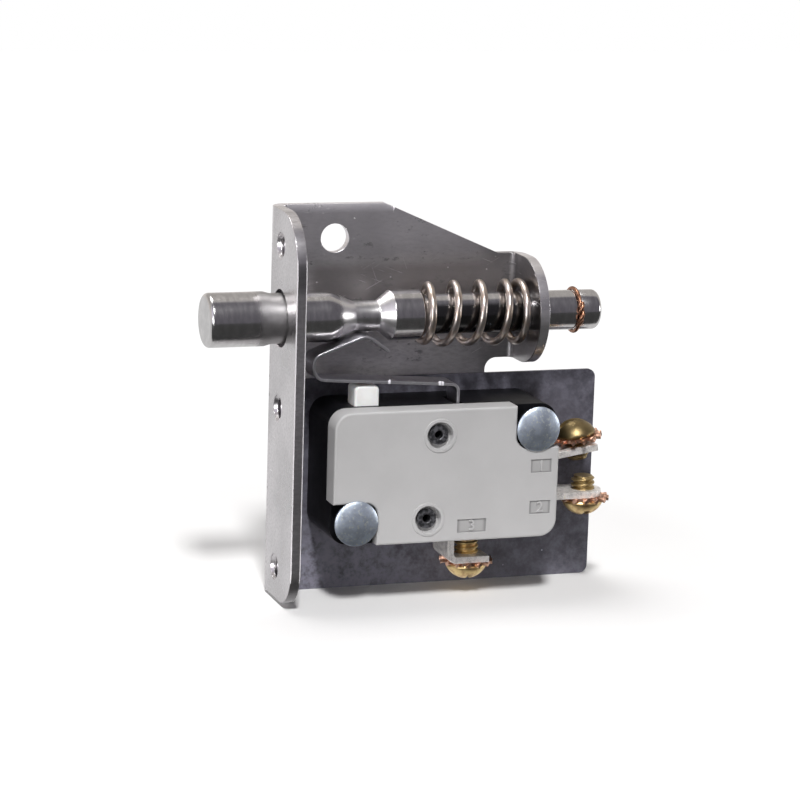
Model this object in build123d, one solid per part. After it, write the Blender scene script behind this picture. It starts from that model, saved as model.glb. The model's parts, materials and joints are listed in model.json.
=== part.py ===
from build123d import *
from math import cos, radians, sin, sqrt, tan
import os

# Plunger door interlock switch: a spring loaded plunger in a bent sheet bracket works a
# snap action switch through a spring leaf that rides in the plunger's waist.
# Frame: +X from the mounting flange towards the rear lug, +Y towards the back plate,
# +Z up. The origin is the centre of the middle threaded hole, on the flange's outer face.
# The plunger's axis lies over it, at y = 0. All sizes are millimetres.

# Bracket sheet
PLATE_T = 1.2
BEND_R = 0.7
FLANGE_FRONT = 6.65
PLATE_REAR = 5.4
FLANGE_TOP_Z = 23.1
FLANGE_LOW_Z = -22.8
FLANGE_TOP_R = 6.35
FLANGE_LOW_R = 4.6
PLATE_RIGHT_X = 40.3
SLOPE_TOP_X = 13.9
SLOPE_END_X = 28.3
ROLLED_EDGE_H = 1.1
ROLLED_EDGE_D = 0.3
PLATE_CORNER_R = 0.8

# Bracket holes
PANEL_HOLE_PITCH = 19.05
PANEL_HOLE_D = 3.3
PLATE_HOLE_D = 3.4
PLATE_HOLE_X = 7.8
FLANGE_BUSH_D = 6.75

# Rear lug
LUG_X = 30.4
LUG_R = 6.35
LUG_FRONT = 5.0
RELIEF_X = 27.1
RELIEF_R = 1.4
RELIEF_GAP = 0.9

# Plunger, with X stations along its axis
PLUNGER_Z = 10.5
HEAD_D = 6.35
HEAD_END_X = -9.0
HEAD_EDGE_R = 0.55
HEAD_TAPER_X = -2.1
BODY_X = -1.2
BODY_D = 5.88
RAMP_X = 5.4
RAMP_MID_X = 7.2
RAMP_MID_D = 4.94
WAIST_X = 8.8
WAIST_D = 3.58
WAIST_END_X = 11.75
CONE_END_X = 13.3
SHOULDER_X = 16.8
SHOULDER_LEN = 0.8
ROD_D = 4.76
ROD_END_X = 39.4
ROD_EDGE_R = 0.7
ROD_RUN_CLEAR = 0.08

# Retaining ring
RING_WIRE_D = 0.55
RING_X = 36.45
RING_GROOVE = 0.16
RING_SEAT_CLEAR = 0.03

# Plunger spring
SPRING_WIRE_D = 0.8
SPRING_OD = 7.9
SPRING_SEAT_OD = 7.2
SPRING_SEAT_X = 0.5
SPRING_SEAT_RISE = 0.4
SPRING_SEAT_TURNS = 0.5
SPRING_OPEN_TURNS = 3.5
SPRING_CLOSED_TURNS = 1
SPRING_END_CLEAR = 0.1

# Insulating sheet behind the switch
SHEET_T = 0.5
SHEET_BEND_GAP = 0.7
SHEET_OUT = 1.0
SHEET_ABOVE = 2.0
SHEET_BELOW = 0.4
SHEET_CORNER_R = 1.0

# Switch case
CASE_X = 5.0
CASE_DROP = 10.1
CASE_W = 27.8
CASE_H = 15.9
CASE_D = 10.3
CASE_R = 2.1
COVER_D = 2.9
COVER_EDGE_R = 0.3
WALL = 1.0
FACE_WALL = 1.0
FLOOR_WALL = 1.3
NOTCH_W = 5.4
NOTCH_H = 5.05
NOTCH_R = 1.4
NOTCH_CLEAR = 0.15
POST_DROP = 1.3
BOSS_D = 4.4
LABEL_DEPTH = 0.15
LABEL_W = 2.6
LABEL_H = 1.6
LABEL_WIDE_W = 3.6
LABEL_INSET = 2.2
LABEL_RISE = 1.8

# Mounting rivets
RIVET_INSET = 2.8
RIVET_D = 3.0
RIVET_HOLE_D = 3.1
RIVET_HEAD_D = 5.35
RIVET_EDGE_H = 0.2
RIVET_HEAD_H = 0.75
RIVET_TAIL_D = 4.8
RIVET_TAIL_H = 0.8

# Case eyelets
EYELET_D = 1.9
EYELET_BORE_D = 1.0
EYELET_HEAD_D = 2.4
EYELET_HEAD_H = 0.4
EYELET_RECESS_D = 3.2
EYELET_RECESS_H = 0.8
EYELET_RIM_D = 4.0
EYELET_RIM_H = 0.12
EYELET_CLEAR = 0.05
EYELET_UPPER_IN = 12.8
EYELET_UPPER_DROP = 3.1
EYELET_LOWER_IN = 11.6
EYELET_STRIP_CLEAR = 0.2

# Terminals
TAB_T = 0.8
TAB_W = 4.4
TAB_BEND_R = 0.4
TAB_CLEAR = 0.05
NC_DROP = 6.5
NC_BEND_OUT = 0.9
NC_TIP_LEN = 5.3
NC_RISE = 9.0
NO_DROP = 11.5
NO_OUT = 7.5
ARM_IN = 7.2
COM_W = 5.4
COM_LEG_IN = 15.3
COM_DROP = 2.8
COM_TAB_LEN = 5.3
COM_FLOOR_T = 0.7
COM_RISER_CLEAR = 0.3
COM_SHELF_CLEAR = 0.15
ANCHOR_CLEAR = 0.3
ANCHOR_T = 0.7

# Terminal screws and lock washers
SCREW_D = 2.84
SCREW_HOLE_D = 2.9
SCREW_HEAD_D = 4.9
SCREW_HEAD_H = 1.95
SCREW_EDGE_H = 0.35
SCREW_STUB = 1.6
SLOT_W = 0.7
SLOT_DEPTH = 0.8
WASHER_OD = 6.4
WASHER_BORE_D = 3.0
WASHER_T = 0.5
WASHER_TEETH = 14
WASHER_TOOTH_L = 0.85
WASHER_TOOTH_W = 0.62
WASHER_TOOTH_ROOT = 0.1
COM_SCREW_ALONG = 3.3
NO_SCREW_OUT = 5.3
NC_SCREW_ALONG = 3.35
NC_SCREW_OUT = 0.6

# Snap mechanism
BLADE_DROP = 8.4
BLADE_T = 0.25
BLADE_W = 4.0
BLADE_SEAT_IN = 0.1
BLADE_TIP_LEN = 1.6
WINDOW_OUT = 1.9
WINDOW_END_IN = 5.0
WINDOW_W = 2.6
TONGUE_W = 1.8
TONGUE_T = 0.2
TONGUE_SAG = 1.1
TONGUE_CLEAR = 0.1
CONTACT_IN = 5.8
CONTACT_D = 2.4
CONTACT_SHANK_D = 1.3
CONTACT_TOUCH = 0.02
CONTACT_GAP = 1.0
MOVING_CONTACT_H = 0.7

# Button
BUTTON_IN = 4.95
BUTTON_W = 3.0
BUTTON_D = 3.0
BUTTON_EDGE_R = 0.6
BUTTON_CLEAR = 0.08
COLLAR_OUT = 0.45
COLLAR_H = 0.8
STEM_W = 1.8
STEM_D = 1.6
STEM_CLEAR = 0.12

# Cam leaf: centre line of the strip in X and Z, from the tang to the free tip
LEAF_T = 0.4
LEAF_W = 3.6
LEAF_BEND_R = 1.0
LEAF_TURN_R = 1.3
LEAF_GAP = 0.1
LEAF_WAIST_GAP = 0.11
TANG_IN = 16.1
TANG_DEPTH = 0.8
TANG_SLOT_W = 1.1
LEAF_CORNER_H = 2.1
LEAF_ARM_LEN = 13.5
LEAF_ARM_H = 2.9
LEAF_TURN_LEN = 17.8
LEAF_TURN_H = 3.35
LEAF_TURN_DROP = 4.2
LEAF_APEX_IN = 0.95
LEAF_TIP_LEN = 2.4
LEAF_TIP_DROP = 1.6

# Worked out places
PLATE_FRONT = PLATE_REAR - PLATE_T
SHEET_FRONT = PLATE_FRONT - SHEET_T
CASE_REAR = SHEET_FRONT
CASE_FRONT = CASE_REAR - CASE_D
SEAM_Y = CASE_FRONT + COVER_D
MID_Y = CASE_REAR - CASE_D / 2
CASE_RIGHT_X = CASE_X + CASE_W
CASE_TOP_Z = PLUNGER_Z - CASE_DROP
CASE_LOW_Z = CASE_TOP_Z - CASE_H
SHEET_LEFT_X = PLATE_T + BEND_R + SHEET_BEND_GAP
SHEET_RIGHT_X = PLATE_RIGHT_X + SHEET_OUT
SHEET_TOP_Z = CASE_TOP_Z + SHEET_ABOVE
SHEET_LOW_Z = FLANGE_LOW_Z - SHEET_BELOW
LUG_OUT_X = LUG_X + PLATE_T
LUG_LOW_Z = PLUNGER_Z - LUG_R
LUG_TOP_Z = PLUNGER_Z + LUG_R
RIVETS = (
    (CASE_X + RIVET_INSET, CASE_LOW_Z + RIVET_INSET),
    (CASE_RIGHT_X - RIVET_INSET, CASE_TOP_Z - RIVET_INSET),
)
STRIP_TOP_Z = CASE_LOW_Z + WALL + COM_FLOOR_T
EYELETS = (
    (CASE_X + EYELET_UPPER_IN, CASE_TOP_Z - EYELET_UPPER_DROP),
    (CASE_X + EYELET_LOWER_IN, STRIP_TOP_Z + EYELET_STRIP_CLEAR + EYELET_D / 2),
)
NC_TOP_Z = CASE_TOP_Z - NC_DROP
NC_BEND_X = CASE_RIGHT_X + NC_BEND_OUT
NO_TOP_Z = CASE_TOP_Z - NO_DROP
NO_TIP_X = CASE_RIGHT_X + NO_OUT
NO_SCREW_X = CASE_RIGHT_X + NO_SCREW_OUT
ARM_END_X = CASE_RIGHT_X - ARM_IN
CONTACT_X = CASE_RIGHT_X - CONTACT_IN
COM_LEG_X = CASE_X + COM_LEG_IN
COM_TIP_X = COM_LEG_X + COM_TAB_LEN
COM_SCREW_X = COM_LEG_X + COM_SCREW_ALONG
COM_TOP_Z = CASE_LOW_Z - COM_DROP
COM_RISER_X = CASE_X + NOTCH_W + COM_RISER_CLEAR
COM_Y = SEAM_Y + TAB_CLEAR + COM_W / 2
ANCHOR_X = CASE_X + WALL + ANCHOR_CLEAR
BLADE_Z = CASE_TOP_Z - BLADE_DROP
BLADE_LEFT_X = ANCHOR_X + BLADE_SEAT_IN
BLADE_RIGHT_X = CONTACT_X + BLADE_TIP_LEN
WINDOW_X = ANCHOR_X + WINDOW_OUT
WINDOW_END_X = CONTACT_X - WINDOW_END_IN
BUTTON_X = CASE_X + BUTTON_IN
TANG_X = CASE_X + TANG_IN
LEAF_CORNER_Z = CASE_TOP_Z + LEAF_CORNER_H
LEAF_ARM_X = TANG_X - LEAF_ARM_LEN
LEAF_ARM_Z = CASE_TOP_Z + LEAF_ARM_H
BLADE_TOP_Z = BLADE_Z + BLADE_T / 2
BLADE_LOW_Z = BLADE_Z - BLADE_T / 2
LOW_TO_TOP = (Align.CENTER, Align.CENTER, Align.MIN)


def prism_y(sketch, y0, y1):
    """A sketch drawn in X and Z, filled from y0 to y1."""
    plane = Plane(origin=(0, y1, 0), x_dir=(1, 0, 0), z_dir=(0, -1, 0))
    return extrude(plane * sketch, amount=y1 - y0)


def prism_x(sketch, x0, x1):
    """A sketch drawn in Y and Z, filled from x0 to x1."""
    plane = Plane(origin=(x0, 0, 0), x_dir=(0, 1, 0), z_dir=(1, 0, 0))
    return extrude(plane * sketch, amount=x1 - x0)


def outline(*points):
    return make_face(Polyline(*points, close=True))


def box(x0, x1, y0, y1, z0, z1):
    centre = Pos((x0 + x1) / 2, (y0 + y1) / 2, (z0 + z1) / 2)
    return centre * Box(x1 - x0, y1 - y0, z1 - z0)


def rod_x(d, x0, x1, y, z):
    return Pos(x0, y, z) * Rot(0, 90, 0) * Cylinder(d / 2, x1 - x0, align=LOW_TO_TOP)


def rod_y(d, y0, y1, x, z):
    return Pos(x, y0, z) * Rot(-90, 0, 0) * Cylinder(d / 2, y1 - y0, align=LOW_TO_TOP)


def rod_z(d, z0, z1, x, y):
    return Pos(x, y, z0) * Cylinder(d / 2, z1 - z0, align=LOW_TO_TOP)


def rounded(sketch, corner, radius):
    """Round the sketch's vertex that lies nearest to a corner."""
    vertex = sketch.vertices().sort_by_distance((*corner, 0))[0]
    return fillet(vertex, radius)


def bent_leg(points, outer, inner):
    """The bent sheet's outline in X and Y, with one bend."""
    profile = rounded(outline(*points), outer, BEND_R + PLATE_T)
    return rounded(profile, inner, BEND_R)


def make_bracket():
    flange_profile = bent_leg(
        [
            (0, -FLANGE_FRONT),
            (0, PLATE_REAR),
            (PLATE_RIGHT_X, PLATE_REAR),
            (PLATE_RIGHT_X, PLATE_FRONT),
            (PLATE_T, PLATE_FRONT),
            (PLATE_T, -FLANGE_FRONT),
        ],
        (0, PLATE_REAR),
        (PLATE_T, PLATE_FRONT),
    )
    sheet = Pos(0, 0, FLANGE_LOW_Z) * extrude(flange_profile, amount=FLANGE_TOP_Z - FLANGE_LOW_Z)

    bend_start_x = LUG_X - BEND_R
    relief_low_z = SHEET_TOP_Z - RELIEF_GAP
    blank = outline(
        (0, FLANGE_LOW_Z),
        (PLATE_RIGHT_X, FLANGE_LOW_Z),
        (PLATE_RIGHT_X, relief_low_z),
        (RELIEF_X, relief_low_z),
        (RELIEF_X, LUG_LOW_Z),
        (bend_start_x, LUG_LOW_Z),
        (bend_start_x, LUG_TOP_Z),
        (SLOPE_END_X, LUG_TOP_Z),
        (SLOPE_TOP_X, FLANGE_TOP_Z),
        (0, FLANGE_TOP_Z),
    )
    blank = rounded(blank, (RELIEF_X, LUG_LOW_Z), RELIEF_R)
    for corner_z in (FLANGE_LOW_Z, relief_low_z):
        blank = rounded(blank, (PLATE_RIGHT_X, corner_z), PLATE_CORNER_R)
    sheet &= prism_y(blank, -FLANGE_FRONT, PLATE_REAR)

    flange_side = outline(
        (-FLANGE_FRONT, FLANGE_LOW_Z),
        (PLATE_REAR, FLANGE_LOW_Z),
        (PLATE_REAR, FLANGE_TOP_Z),
        (-FLANGE_FRONT, FLANGE_TOP_Z),
    )
    flange_side = rounded(flange_side, (-FLANGE_FRONT, FLANGE_TOP_Z), FLANGE_TOP_R)
    flange_side = rounded(flange_side, (-FLANGE_FRONT, FLANGE_LOW_Z), FLANGE_LOW_R)
    sheet &= prism_x(flange_side, 0, PLATE_RIGHT_X)

    lug_profile = bent_leg(
        [
            (bend_start_x - PLATE_T, PLATE_REAR),
            (LUG_OUT_X, PLATE_REAR),
            (LUG_OUT_X, -LUG_FRONT),
            (LUG_X, -LUG_FRONT),
            (LUG_X, PLATE_FRONT),
            (bend_start_x - PLATE_T, PLATE_FRONT),
        ],
        (LUG_OUT_X, PLATE_REAR),
        (LUG_X, PLATE_FRONT),
    )
    lug = Pos(0, 0, LUG_LOW_Z) * extrude(lug_profile, amount=2 * LUG_R)
    lug_centre_y = LUG_R - LUG_FRONT
    lug_side = Pos(lug_centre_y, PLUNGER_Z) * Circle(LUG_R)
    lug_side += Pos((lug_centre_y + PLATE_REAR) / 2, PLUNGER_Z) * Rectangle(
        PLATE_REAR - lug_centre_y, 2 * LUG_R
    )
    lug &= prism_x(lug_side, bend_start_x - PLATE_T, LUG_OUT_X)
    sheet += lug

    rolled_edge = outline(
        (PLATE_FRONT, FLANGE_TOP_Z - ROLLED_EDGE_H),
        (PLATE_FRONT + ROLLED_EDGE_D, FLANGE_TOP_Z),
        (PLATE_FRONT, FLANGE_TOP_Z),
    )
    sheet -= prism_x(rolled_edge, PLATE_T + BEND_R, SLOPE_TOP_X + ROLLED_EDGE_H)

    for step in (-1, 0, 1):
        sheet -= rod_x(PANEL_HOLE_D, 0, PLATE_T, 0, step * PANEL_HOLE_PITCH)
    sheet -= rod_x(FLANGE_BUSH_D, 0, PLATE_T, 0, PLUNGER_Z)
    sheet -= rod_x(ROD_D + 2 * ROD_RUN_CLEAR, LUG_X, LUG_OUT_X, 0, PLUNGER_Z)
    sheet -= rod_y(PLATE_HOLE_D, PLATE_FRONT, PLATE_REAR, PLATE_HOLE_X, PANEL_HOLE_PITCH)
    for x, z in RIVETS:
        sheet -= rod_y(RIVET_HOLE_D, PLATE_FRONT, PLATE_REAR, x, z)
    return sheet


def make_plunger():
    """One turned piece: head, body, cam waist, shoulder and rod."""
    body_r = BODY_D / 2
    waist_r = WAIST_D / 2
    rod_r = ROD_D / 2
    groove_r = rod_r - RING_GROOVE
    profile = Polyline(
        (HEAD_END_X, 0),
        (HEAD_END_X, HEAD_D / 2),
        (HEAD_TAPER_X, HEAD_D / 2),
        (BODY_X, body_r),
        (RAMP_X, body_r),
    )
    profile += Spline(
        (RAMP_X, body_r),
        (RAMP_MID_X, RAMP_MID_D / 2),
        (WAIST_X, waist_r),
        tangents=((1, 0), (1, -0.25)),
    )
    profile += Polyline(
        (WAIST_X, waist_r),
        (WAIST_END_X, waist_r),
        (CONE_END_X, body_r),
        (SHOULDER_X, body_r),
        (SHOULDER_X + SHOULDER_LEN, rod_r),
        (RING_X - RING_WIRE_D / 2, rod_r),
        (RING_X - RING_WIRE_D / 2, groove_r),
        (RING_X + RING_WIRE_D / 2, groove_r),
        (RING_X + RING_WIRE_D / 2, rod_r),
        (ROD_END_X, rod_r),
        (ROD_END_X, 0),
        (HEAD_END_X, 0),
    )
    half = make_face(profile)
    half = rounded(half, (HEAD_END_X, HEAD_D / 2), HEAD_EDGE_R)
    half = rounded(half, (ROD_END_X, rod_r), ROD_EDGE_R)
    return Pos(0, 0, PLUNGER_Z) * revolve(half, Axis.X)


def make_retaining_ring():
    ring_r = ROD_D / 2 - RING_GROOVE + RING_WIRE_D / 2 + RING_SEAT_CLEAR
    return Pos(RING_X, 0, PLUNGER_Z) * Rot(0, 90, 0) * Torus(ring_r, RING_WIRE_D / 2)


def make_plunger_spring():
    """Coil on the rod. Its first turn is drawn in, so that it seats on the shoulder."""
    wire_r = SPRING_WIRE_D / 2
    seat_r = SPRING_SEAT_OD / 2 - wire_r
    coil_r = SPRING_OD / 2 - wire_r
    start_x = SHOULDER_X + SPRING_SEAT_X
    open_x = start_x + SPRING_SEAT_RISE
    closed_x = LUG_X - SPRING_END_CLEAR - wire_r - SPRING_CLOSED_TURNS * SPRING_WIRE_D
    open_end = SPRING_SEAT_TURNS + SPRING_OPEN_TURNS
    steps = 12
    points = []
    for i in range(int(steps * (open_end + SPRING_CLOSED_TURNS)) + 1):
        turn = i / steps
        radius = seat_r + (coil_r - seat_r) * min(1.0, turn)
        if turn < SPRING_SEAT_TURNS:
            x = start_x + SPRING_SEAT_RISE * turn / SPRING_SEAT_TURNS
        elif turn < open_end:
            x = open_x + (closed_x - open_x) * (turn - SPRING_SEAT_TURNS) / SPRING_OPEN_TURNS
        else:
            x = closed_x + SPRING_WIRE_D * (turn - open_end)
        angle = radians(-90 - 360 * turn)
        points.append((x, radius * cos(angle), PLUNGER_Z + radius * sin(angle)))
    path = Spline(*points)
    section = Plane(origin=path @ 0, z_dir=path % 0) * Circle(wire_r)
    return sweep(section, path=path)


def make_insulator_sheet():
    face = outline(
        (SHEET_LEFT_X, SHEET_LOW_Z),
        (SHEET_RIGHT_X, SHEET_LOW_Z),
        (SHEET_RIGHT_X, SHEET_TOP_Z),
        (SHEET_LEFT_X, SHEET_TOP_Z),
    )
    face = fillet(face.vertices(), SHEET_CORNER_R)
    sheet = prism_y(face, SHEET_FRONT, PLATE_FRONT)
    for x, z in RIVETS:
        sheet -= rod_y(RIVET_HOLE_D, SHEET_FRONT, PLATE_FRONT, x, z)
    return sheet


def case_face(inset=0.0):
    """The switch's outline in X and Z, drawn in by an inset."""
    face = outline(
        (CASE_X + inset, CASE_LOW_Z + inset),
        (CASE_RIGHT_X - inset, CASE_LOW_Z + inset),
        (CASE_RIGHT_X - inset, CASE_TOP_Z - inset),
        (CASE_X + inset, CASE_TOP_Z - inset),
    )
    return fillet(face.vertices(), CASE_R - inset)


def corner_faces(grow=0.0):
    """The two rivet corners, lower left and upper right, as faces in X and Z."""
    width = NOTCH_W + grow
    height = NOTCH_H + grow
    lower = outline(
        (CASE_X, CASE_LOW_Z),
        (CASE_X + width, CASE_LOW_Z),
        (CASE_X + width, CASE_LOW_Z + height),
        (CASE_X, CASE_LOW_Z + height),
    )
    upper = outline(
        (CASE_RIGHT_X, CASE_TOP_Z),
        (CASE_RIGHT_X - width, CASE_TOP_Z),
        (CASE_RIGHT_X - width, CASE_TOP_Z - height),
        (CASE_RIGHT_X, CASE_TOP_Z - height),
    )
    radius = NOTCH_R + grow
    lower = rounded(lower, (CASE_X + width, CASE_LOW_Z + height), radius)
    upper = rounded(upper, (CASE_RIGHT_X - width, CASE_TOP_Z - height), radius)
    return [lower, upper]


def label_frames():
    """Centre and size of the three sunk frames on the cover, one beside each terminal."""
    right_x = CASE_RIGHT_X - LABEL_INSET
    return [
        (right_x, NC_TOP_Z - TAB_T, LABEL_W, LABEL_H),
        (right_x, NO_TOP_Z - TAB_T, LABEL_W, LABEL_H),
        (COM_LEG_X + LABEL_WIDE_W / 2, CASE_LOW_Z + LABEL_RISE, LABEL_WIDE_W, LABEL_H),
    ]


def make_switch_base():
    floor_y = CASE_REAR - FLOOR_WALL
    base = prism_y(case_face(), SEAM_Y, CASE_REAR)
    base -= prism_y(case_face(WALL), SEAM_Y, floor_y)
    posts = [face & case_face() for face in corner_faces(-NOTCH_CLEAR)]
    for face in posts:
        base += prism_y(face, CASE_FRONT + POST_DROP, CASE_REAR)
    for x, z in RIVETS:
        base += rod_y(BOSS_D, CASE_FRONT, CASE_REAR, x, z)
        base -= rod_y(RIVET_HOLE_D, CASE_FRONT, CASE_REAR, x, z)
    for x, z in EYELETS:
        base -= rod_y(EYELET_D + 2 * EYELET_CLEAR, floor_y, CASE_REAR, x, z)

    tab_y0 = MID_Y - TAB_W / 2 - TAB_CLEAR
    tab_y1 = MID_Y + TAB_W / 2 + TAB_CLEAR
    inside_x = CASE_RIGHT_X - WALL
    for top_z in (NC_TOP_Z, NO_TOP_Z):
        low_z = top_z - TAB_T - TAB_CLEAR
        base -= box(inside_x, CASE_RIGHT_X, tab_y0, tab_y1, low_z, top_z + TAB_CLEAR)
    base -= box(
        COM_LEG_X - TAB_CLEAR,
        COM_LEG_X + TAB_T + TAB_CLEAR,
        COM_Y - COM_W / 2 - TAB_CLEAR,
        COM_Y + COM_W / 2 + TAB_CLEAR,
        CASE_LOW_Z,
        CASE_LOW_Z + WALL,
    )
    half_w = BUTTON_W / 2 + BUTTON_CLEAR
    half_d = BUTTON_D / 2 + BUTTON_CLEAR
    base -= box(
        BUTTON_X - half_w,
        BUTTON_X + half_w,
        MID_Y - half_d,
        MID_Y + half_d,
        CASE_TOP_Z - WALL,
        CASE_TOP_Z,
    )
    slot_half_w = LEAF_W / 2 + LEAF_GAP
    base -= box(
        TANG_X - TANG_SLOT_W / 2,
        TANG_X + TANG_SLOT_W / 2,
        MID_Y - slot_half_w,
        MID_Y + slot_half_w,
        CASE_TOP_Z - WALL,
        CASE_TOP_Z,
    )
    return base


def make_switch_cover():
    cover = prism_y(case_face(), CASE_FRONT, SEAM_Y)
    hollow = prism_y(case_face(WALL), CASE_FRONT + FACE_WALL, SEAM_Y)
    for face in corner_faces(WALL):
        hollow -= prism_y(face, CASE_FRONT, SEAM_Y)
    recess_y = CASE_FRONT + EYELET_RECESS_H
    for x, z in EYELETS:
        hollow -= rod_y(BOSS_D, CASE_FRONT, SEAM_Y, x, z)
    cover -= hollow
    for face in corner_faces():
        cover -= prism_y(face, CASE_FRONT, SEAM_Y)
    front = cover.faces().sort_by(Axis.Y)[0]
    cover = fillet(front.outer_wire().edges(), COVER_EDGE_R)
    for x, z in EYELETS:
        cover += rod_y(EYELET_RIM_D, CASE_FRONT - EYELET_RIM_H, CASE_FRONT, x, z)
        cover -= rod_y(EYELET_RECESS_D, CASE_FRONT - EYELET_RIM_H, recess_y, x, z)
        cover -= rod_y(EYELET_D + 2 * EYELET_CLEAR, recess_y, SEAM_Y, x, z)
    for x, z, width, height in label_frames():
        frame = Pos(x, z) * Rectangle(width, height)
        cover -= prism_y(frame, CASE_FRONT, CASE_FRONT + LABEL_DEPTH)
    return cover


def domed_head(d, edge_h, height):
    """A low dome on a short rim, standing on z = 0 and rising along +Z."""
    half = make_face(
        Polyline((0, height), (0, 0), (d / 2, 0), (d / 2, edge_h))
        + SagittaArc((d / 2, edge_h), (0, height), -dome_sag(d, height - edge_h))
    )
    return revolve(Plane.XZ * half, Axis.Z)


def dome_sag(d, rise):
    """Sagitta of the half arc of a spherical cap, drawn from rim to crown."""
    radius = (d * d / 4 + rise * rise) / (2 * rise)
    chord = sqrt(d * d / 4 + rise * rise)
    return radius - sqrt(radius * radius - chord * chord / 4)


def make_mounting_rivets():
    rivets = []
    for x, z in RIVETS:
        head = Pos(x, CASE_FRONT, z) * Rot(90, 0, 0) * domed_head(
            RIVET_HEAD_D, RIVET_EDGE_H, RIVET_HEAD_H
        )
        tail = Pos(x, PLATE_REAR, z) * Rot(-90, 0, 0) * domed_head(
            RIVET_TAIL_D, RIVET_EDGE_H, RIVET_TAIL_H
        )
        rivets.append(head + rod_y(RIVET_D, CASE_FRONT, PLATE_REAR, x, z) + tail)
    return Compound(children=[Part(rivet.wrapped) for rivet in rivets])


def make_case_eyelets():
    seat_y = CASE_FRONT + EYELET_RECESS_H
    eyelets = []
    for x, z in EYELETS:
        piece = rod_y(EYELET_D, seat_y, CASE_REAR, x, z)
        piece += rod_y(EYELET_HEAD_D, seat_y - EYELET_HEAD_H, seat_y, x, z)
        piece -= rod_y(EYELET_BORE_D, seat_y - EYELET_HEAD_H, CASE_REAR, x, z)
        eyelets.append(piece)
    return Compound(children=[Part(piece.wrapped) for piece in eyelets])


def nc_frame():
    """Local frame of the raised end of the NC tab: X along it, Z out of its top face."""
    return Pos(NC_BEND_X, MID_Y, NC_TOP_Z) * Rot(0, -NC_RISE, 0)


def make_nc_terminal():
    y0 = MID_Y - TAB_W / 2
    y1 = MID_Y + TAB_W / 2
    rise = radians(NC_RISE)
    drop_x = TAB_T * tan(rise / 2)
    tip_top = (NC_BEND_X + NC_TIP_LEN * cos(rise), NC_TOP_Z + NC_TIP_LEN * sin(rise))
    tip_low = (tip_top[0] + TAB_T * sin(rise), tip_top[1] - TAB_T * cos(rise))
    strip = outline(
        (ARM_END_X, NC_TOP_Z),
        (NC_BEND_X, NC_TOP_Z),
        tip_top,
        tip_low,
        (NC_BEND_X + drop_x, NC_TOP_Z - TAB_T),
        (ARM_END_X, NC_TOP_Z - TAB_T),
    )
    terminal = prism_y(strip, y0, y1)
    hole = Pos(NC_SCREW_ALONG, 0, -TAB_T) * Cylinder(SCREW_HOLE_D / 2, TAB_T, align=LOW_TO_TOP)
    terminal -= nc_frame() * hole
    terminal -= rod_z(CONTACT_SHANK_D, NC_TOP_Z - TAB_T, NC_TOP_Z, CONTACT_X, MID_Y)
    return terminal


def make_no_terminal():
    y0 = MID_Y - TAB_W / 2
    y1 = MID_Y + TAB_W / 2
    low_z = NO_TOP_Z - TAB_T
    terminal = box(ARM_END_X, NO_TIP_X - TAB_W / 2, y0, y1, low_z, NO_TOP_Z)
    terminal += rod_z(TAB_W, low_z, NO_TOP_Z, NO_TIP_X - TAB_W / 2, MID_Y)
    terminal -= rod_z(SCREW_HOLE_D, low_z, NO_TOP_Z, NO_SCREW_X, MID_Y)
    terminal -= rod_z(CONTACT_SHANK_D, low_z, NO_TOP_Z, CONTACT_X, MID_Y)
    return terminal


def make_com_terminal():
    """Screw tab, leg through the case wall, strip along the wall and blade anchor."""
    y0 = COM_Y - COM_W / 2
    y1 = COM_Y + COM_W / 2
    in_y0 = MID_Y - TAB_W / 2
    in_y1 = MID_Y + TAB_W / 2
    floor_z = CASE_LOW_Z + WALL
    floor_top = STRIP_TOP_Z
    shelf_z = CASE_LOW_Z + NOTCH_H + COM_SHELF_CLEAR
    shelf_top = shelf_z + COM_FLOOR_T
    tab_z = COM_TOP_Z - TAB_T
    leg_end_x = COM_LEG_X + TAB_T
    riser_end_x = COM_RISER_X + COM_FLOOR_T
    anchor_top = BLADE_LOW_Z - CONTACT_TOUCH
    tab_and_leg = outline(
        (COM_LEG_X, floor_top),
        (COM_LEG_X, tab_z),
        (COM_TIP_X, tab_z),
        (COM_TIP_X, COM_TOP_Z),
        (leg_end_x, COM_TOP_Z),
        (leg_end_x, floor_top),
    )
    tab_and_leg = rounded(tab_and_leg, (COM_LEG_X, tab_z), TAB_BEND_R + TAB_T)
    tab_and_leg = rounded(tab_and_leg, (leg_end_x, COM_TOP_Z), TAB_BEND_R)
    terminal = prism_y(tab_and_leg, y0, y1)
    terminal += box(COM_RISER_X, leg_end_x, in_y0, in_y1, floor_z, floor_top)
    terminal += box(COM_RISER_X, riser_end_x, in_y0, in_y1, floor_z, shelf_top)
    terminal += box(ANCHOR_X, riser_end_x, in_y0, in_y1, shelf_z, shelf_top)
    terminal += box(ANCHOR_X, ANCHOR_X + ANCHOR_T, in_y0, in_y1, shelf_z, anchor_top)
    terminal -= rod_z(SCREW_HOLE_D, tab_z, COM_TOP_Z, COM_SCREW_X, COM_Y)
    return terminal


def make_screw():
    """A slotted round head screw. The head's seat is z = 0, with the shank below it."""
    shank_l = WASHER_T + TAB_T + SCREW_STUB
    head = domed_head(SCREW_HEAD_D, SCREW_EDGE_H, SCREW_HEAD_H)
    slot = Pos(0, 0, SCREW_HEAD_H - SLOT_DEPTH) * Box(
        SLOT_W, SCREW_HEAD_D, SLOT_DEPTH, align=LOW_TO_TOP
    )
    shank = Pos(0, 0, -shank_l) * Cylinder(SCREW_D / 2, shank_l, align=LOW_TO_TOP)
    return head - slot + shank


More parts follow.
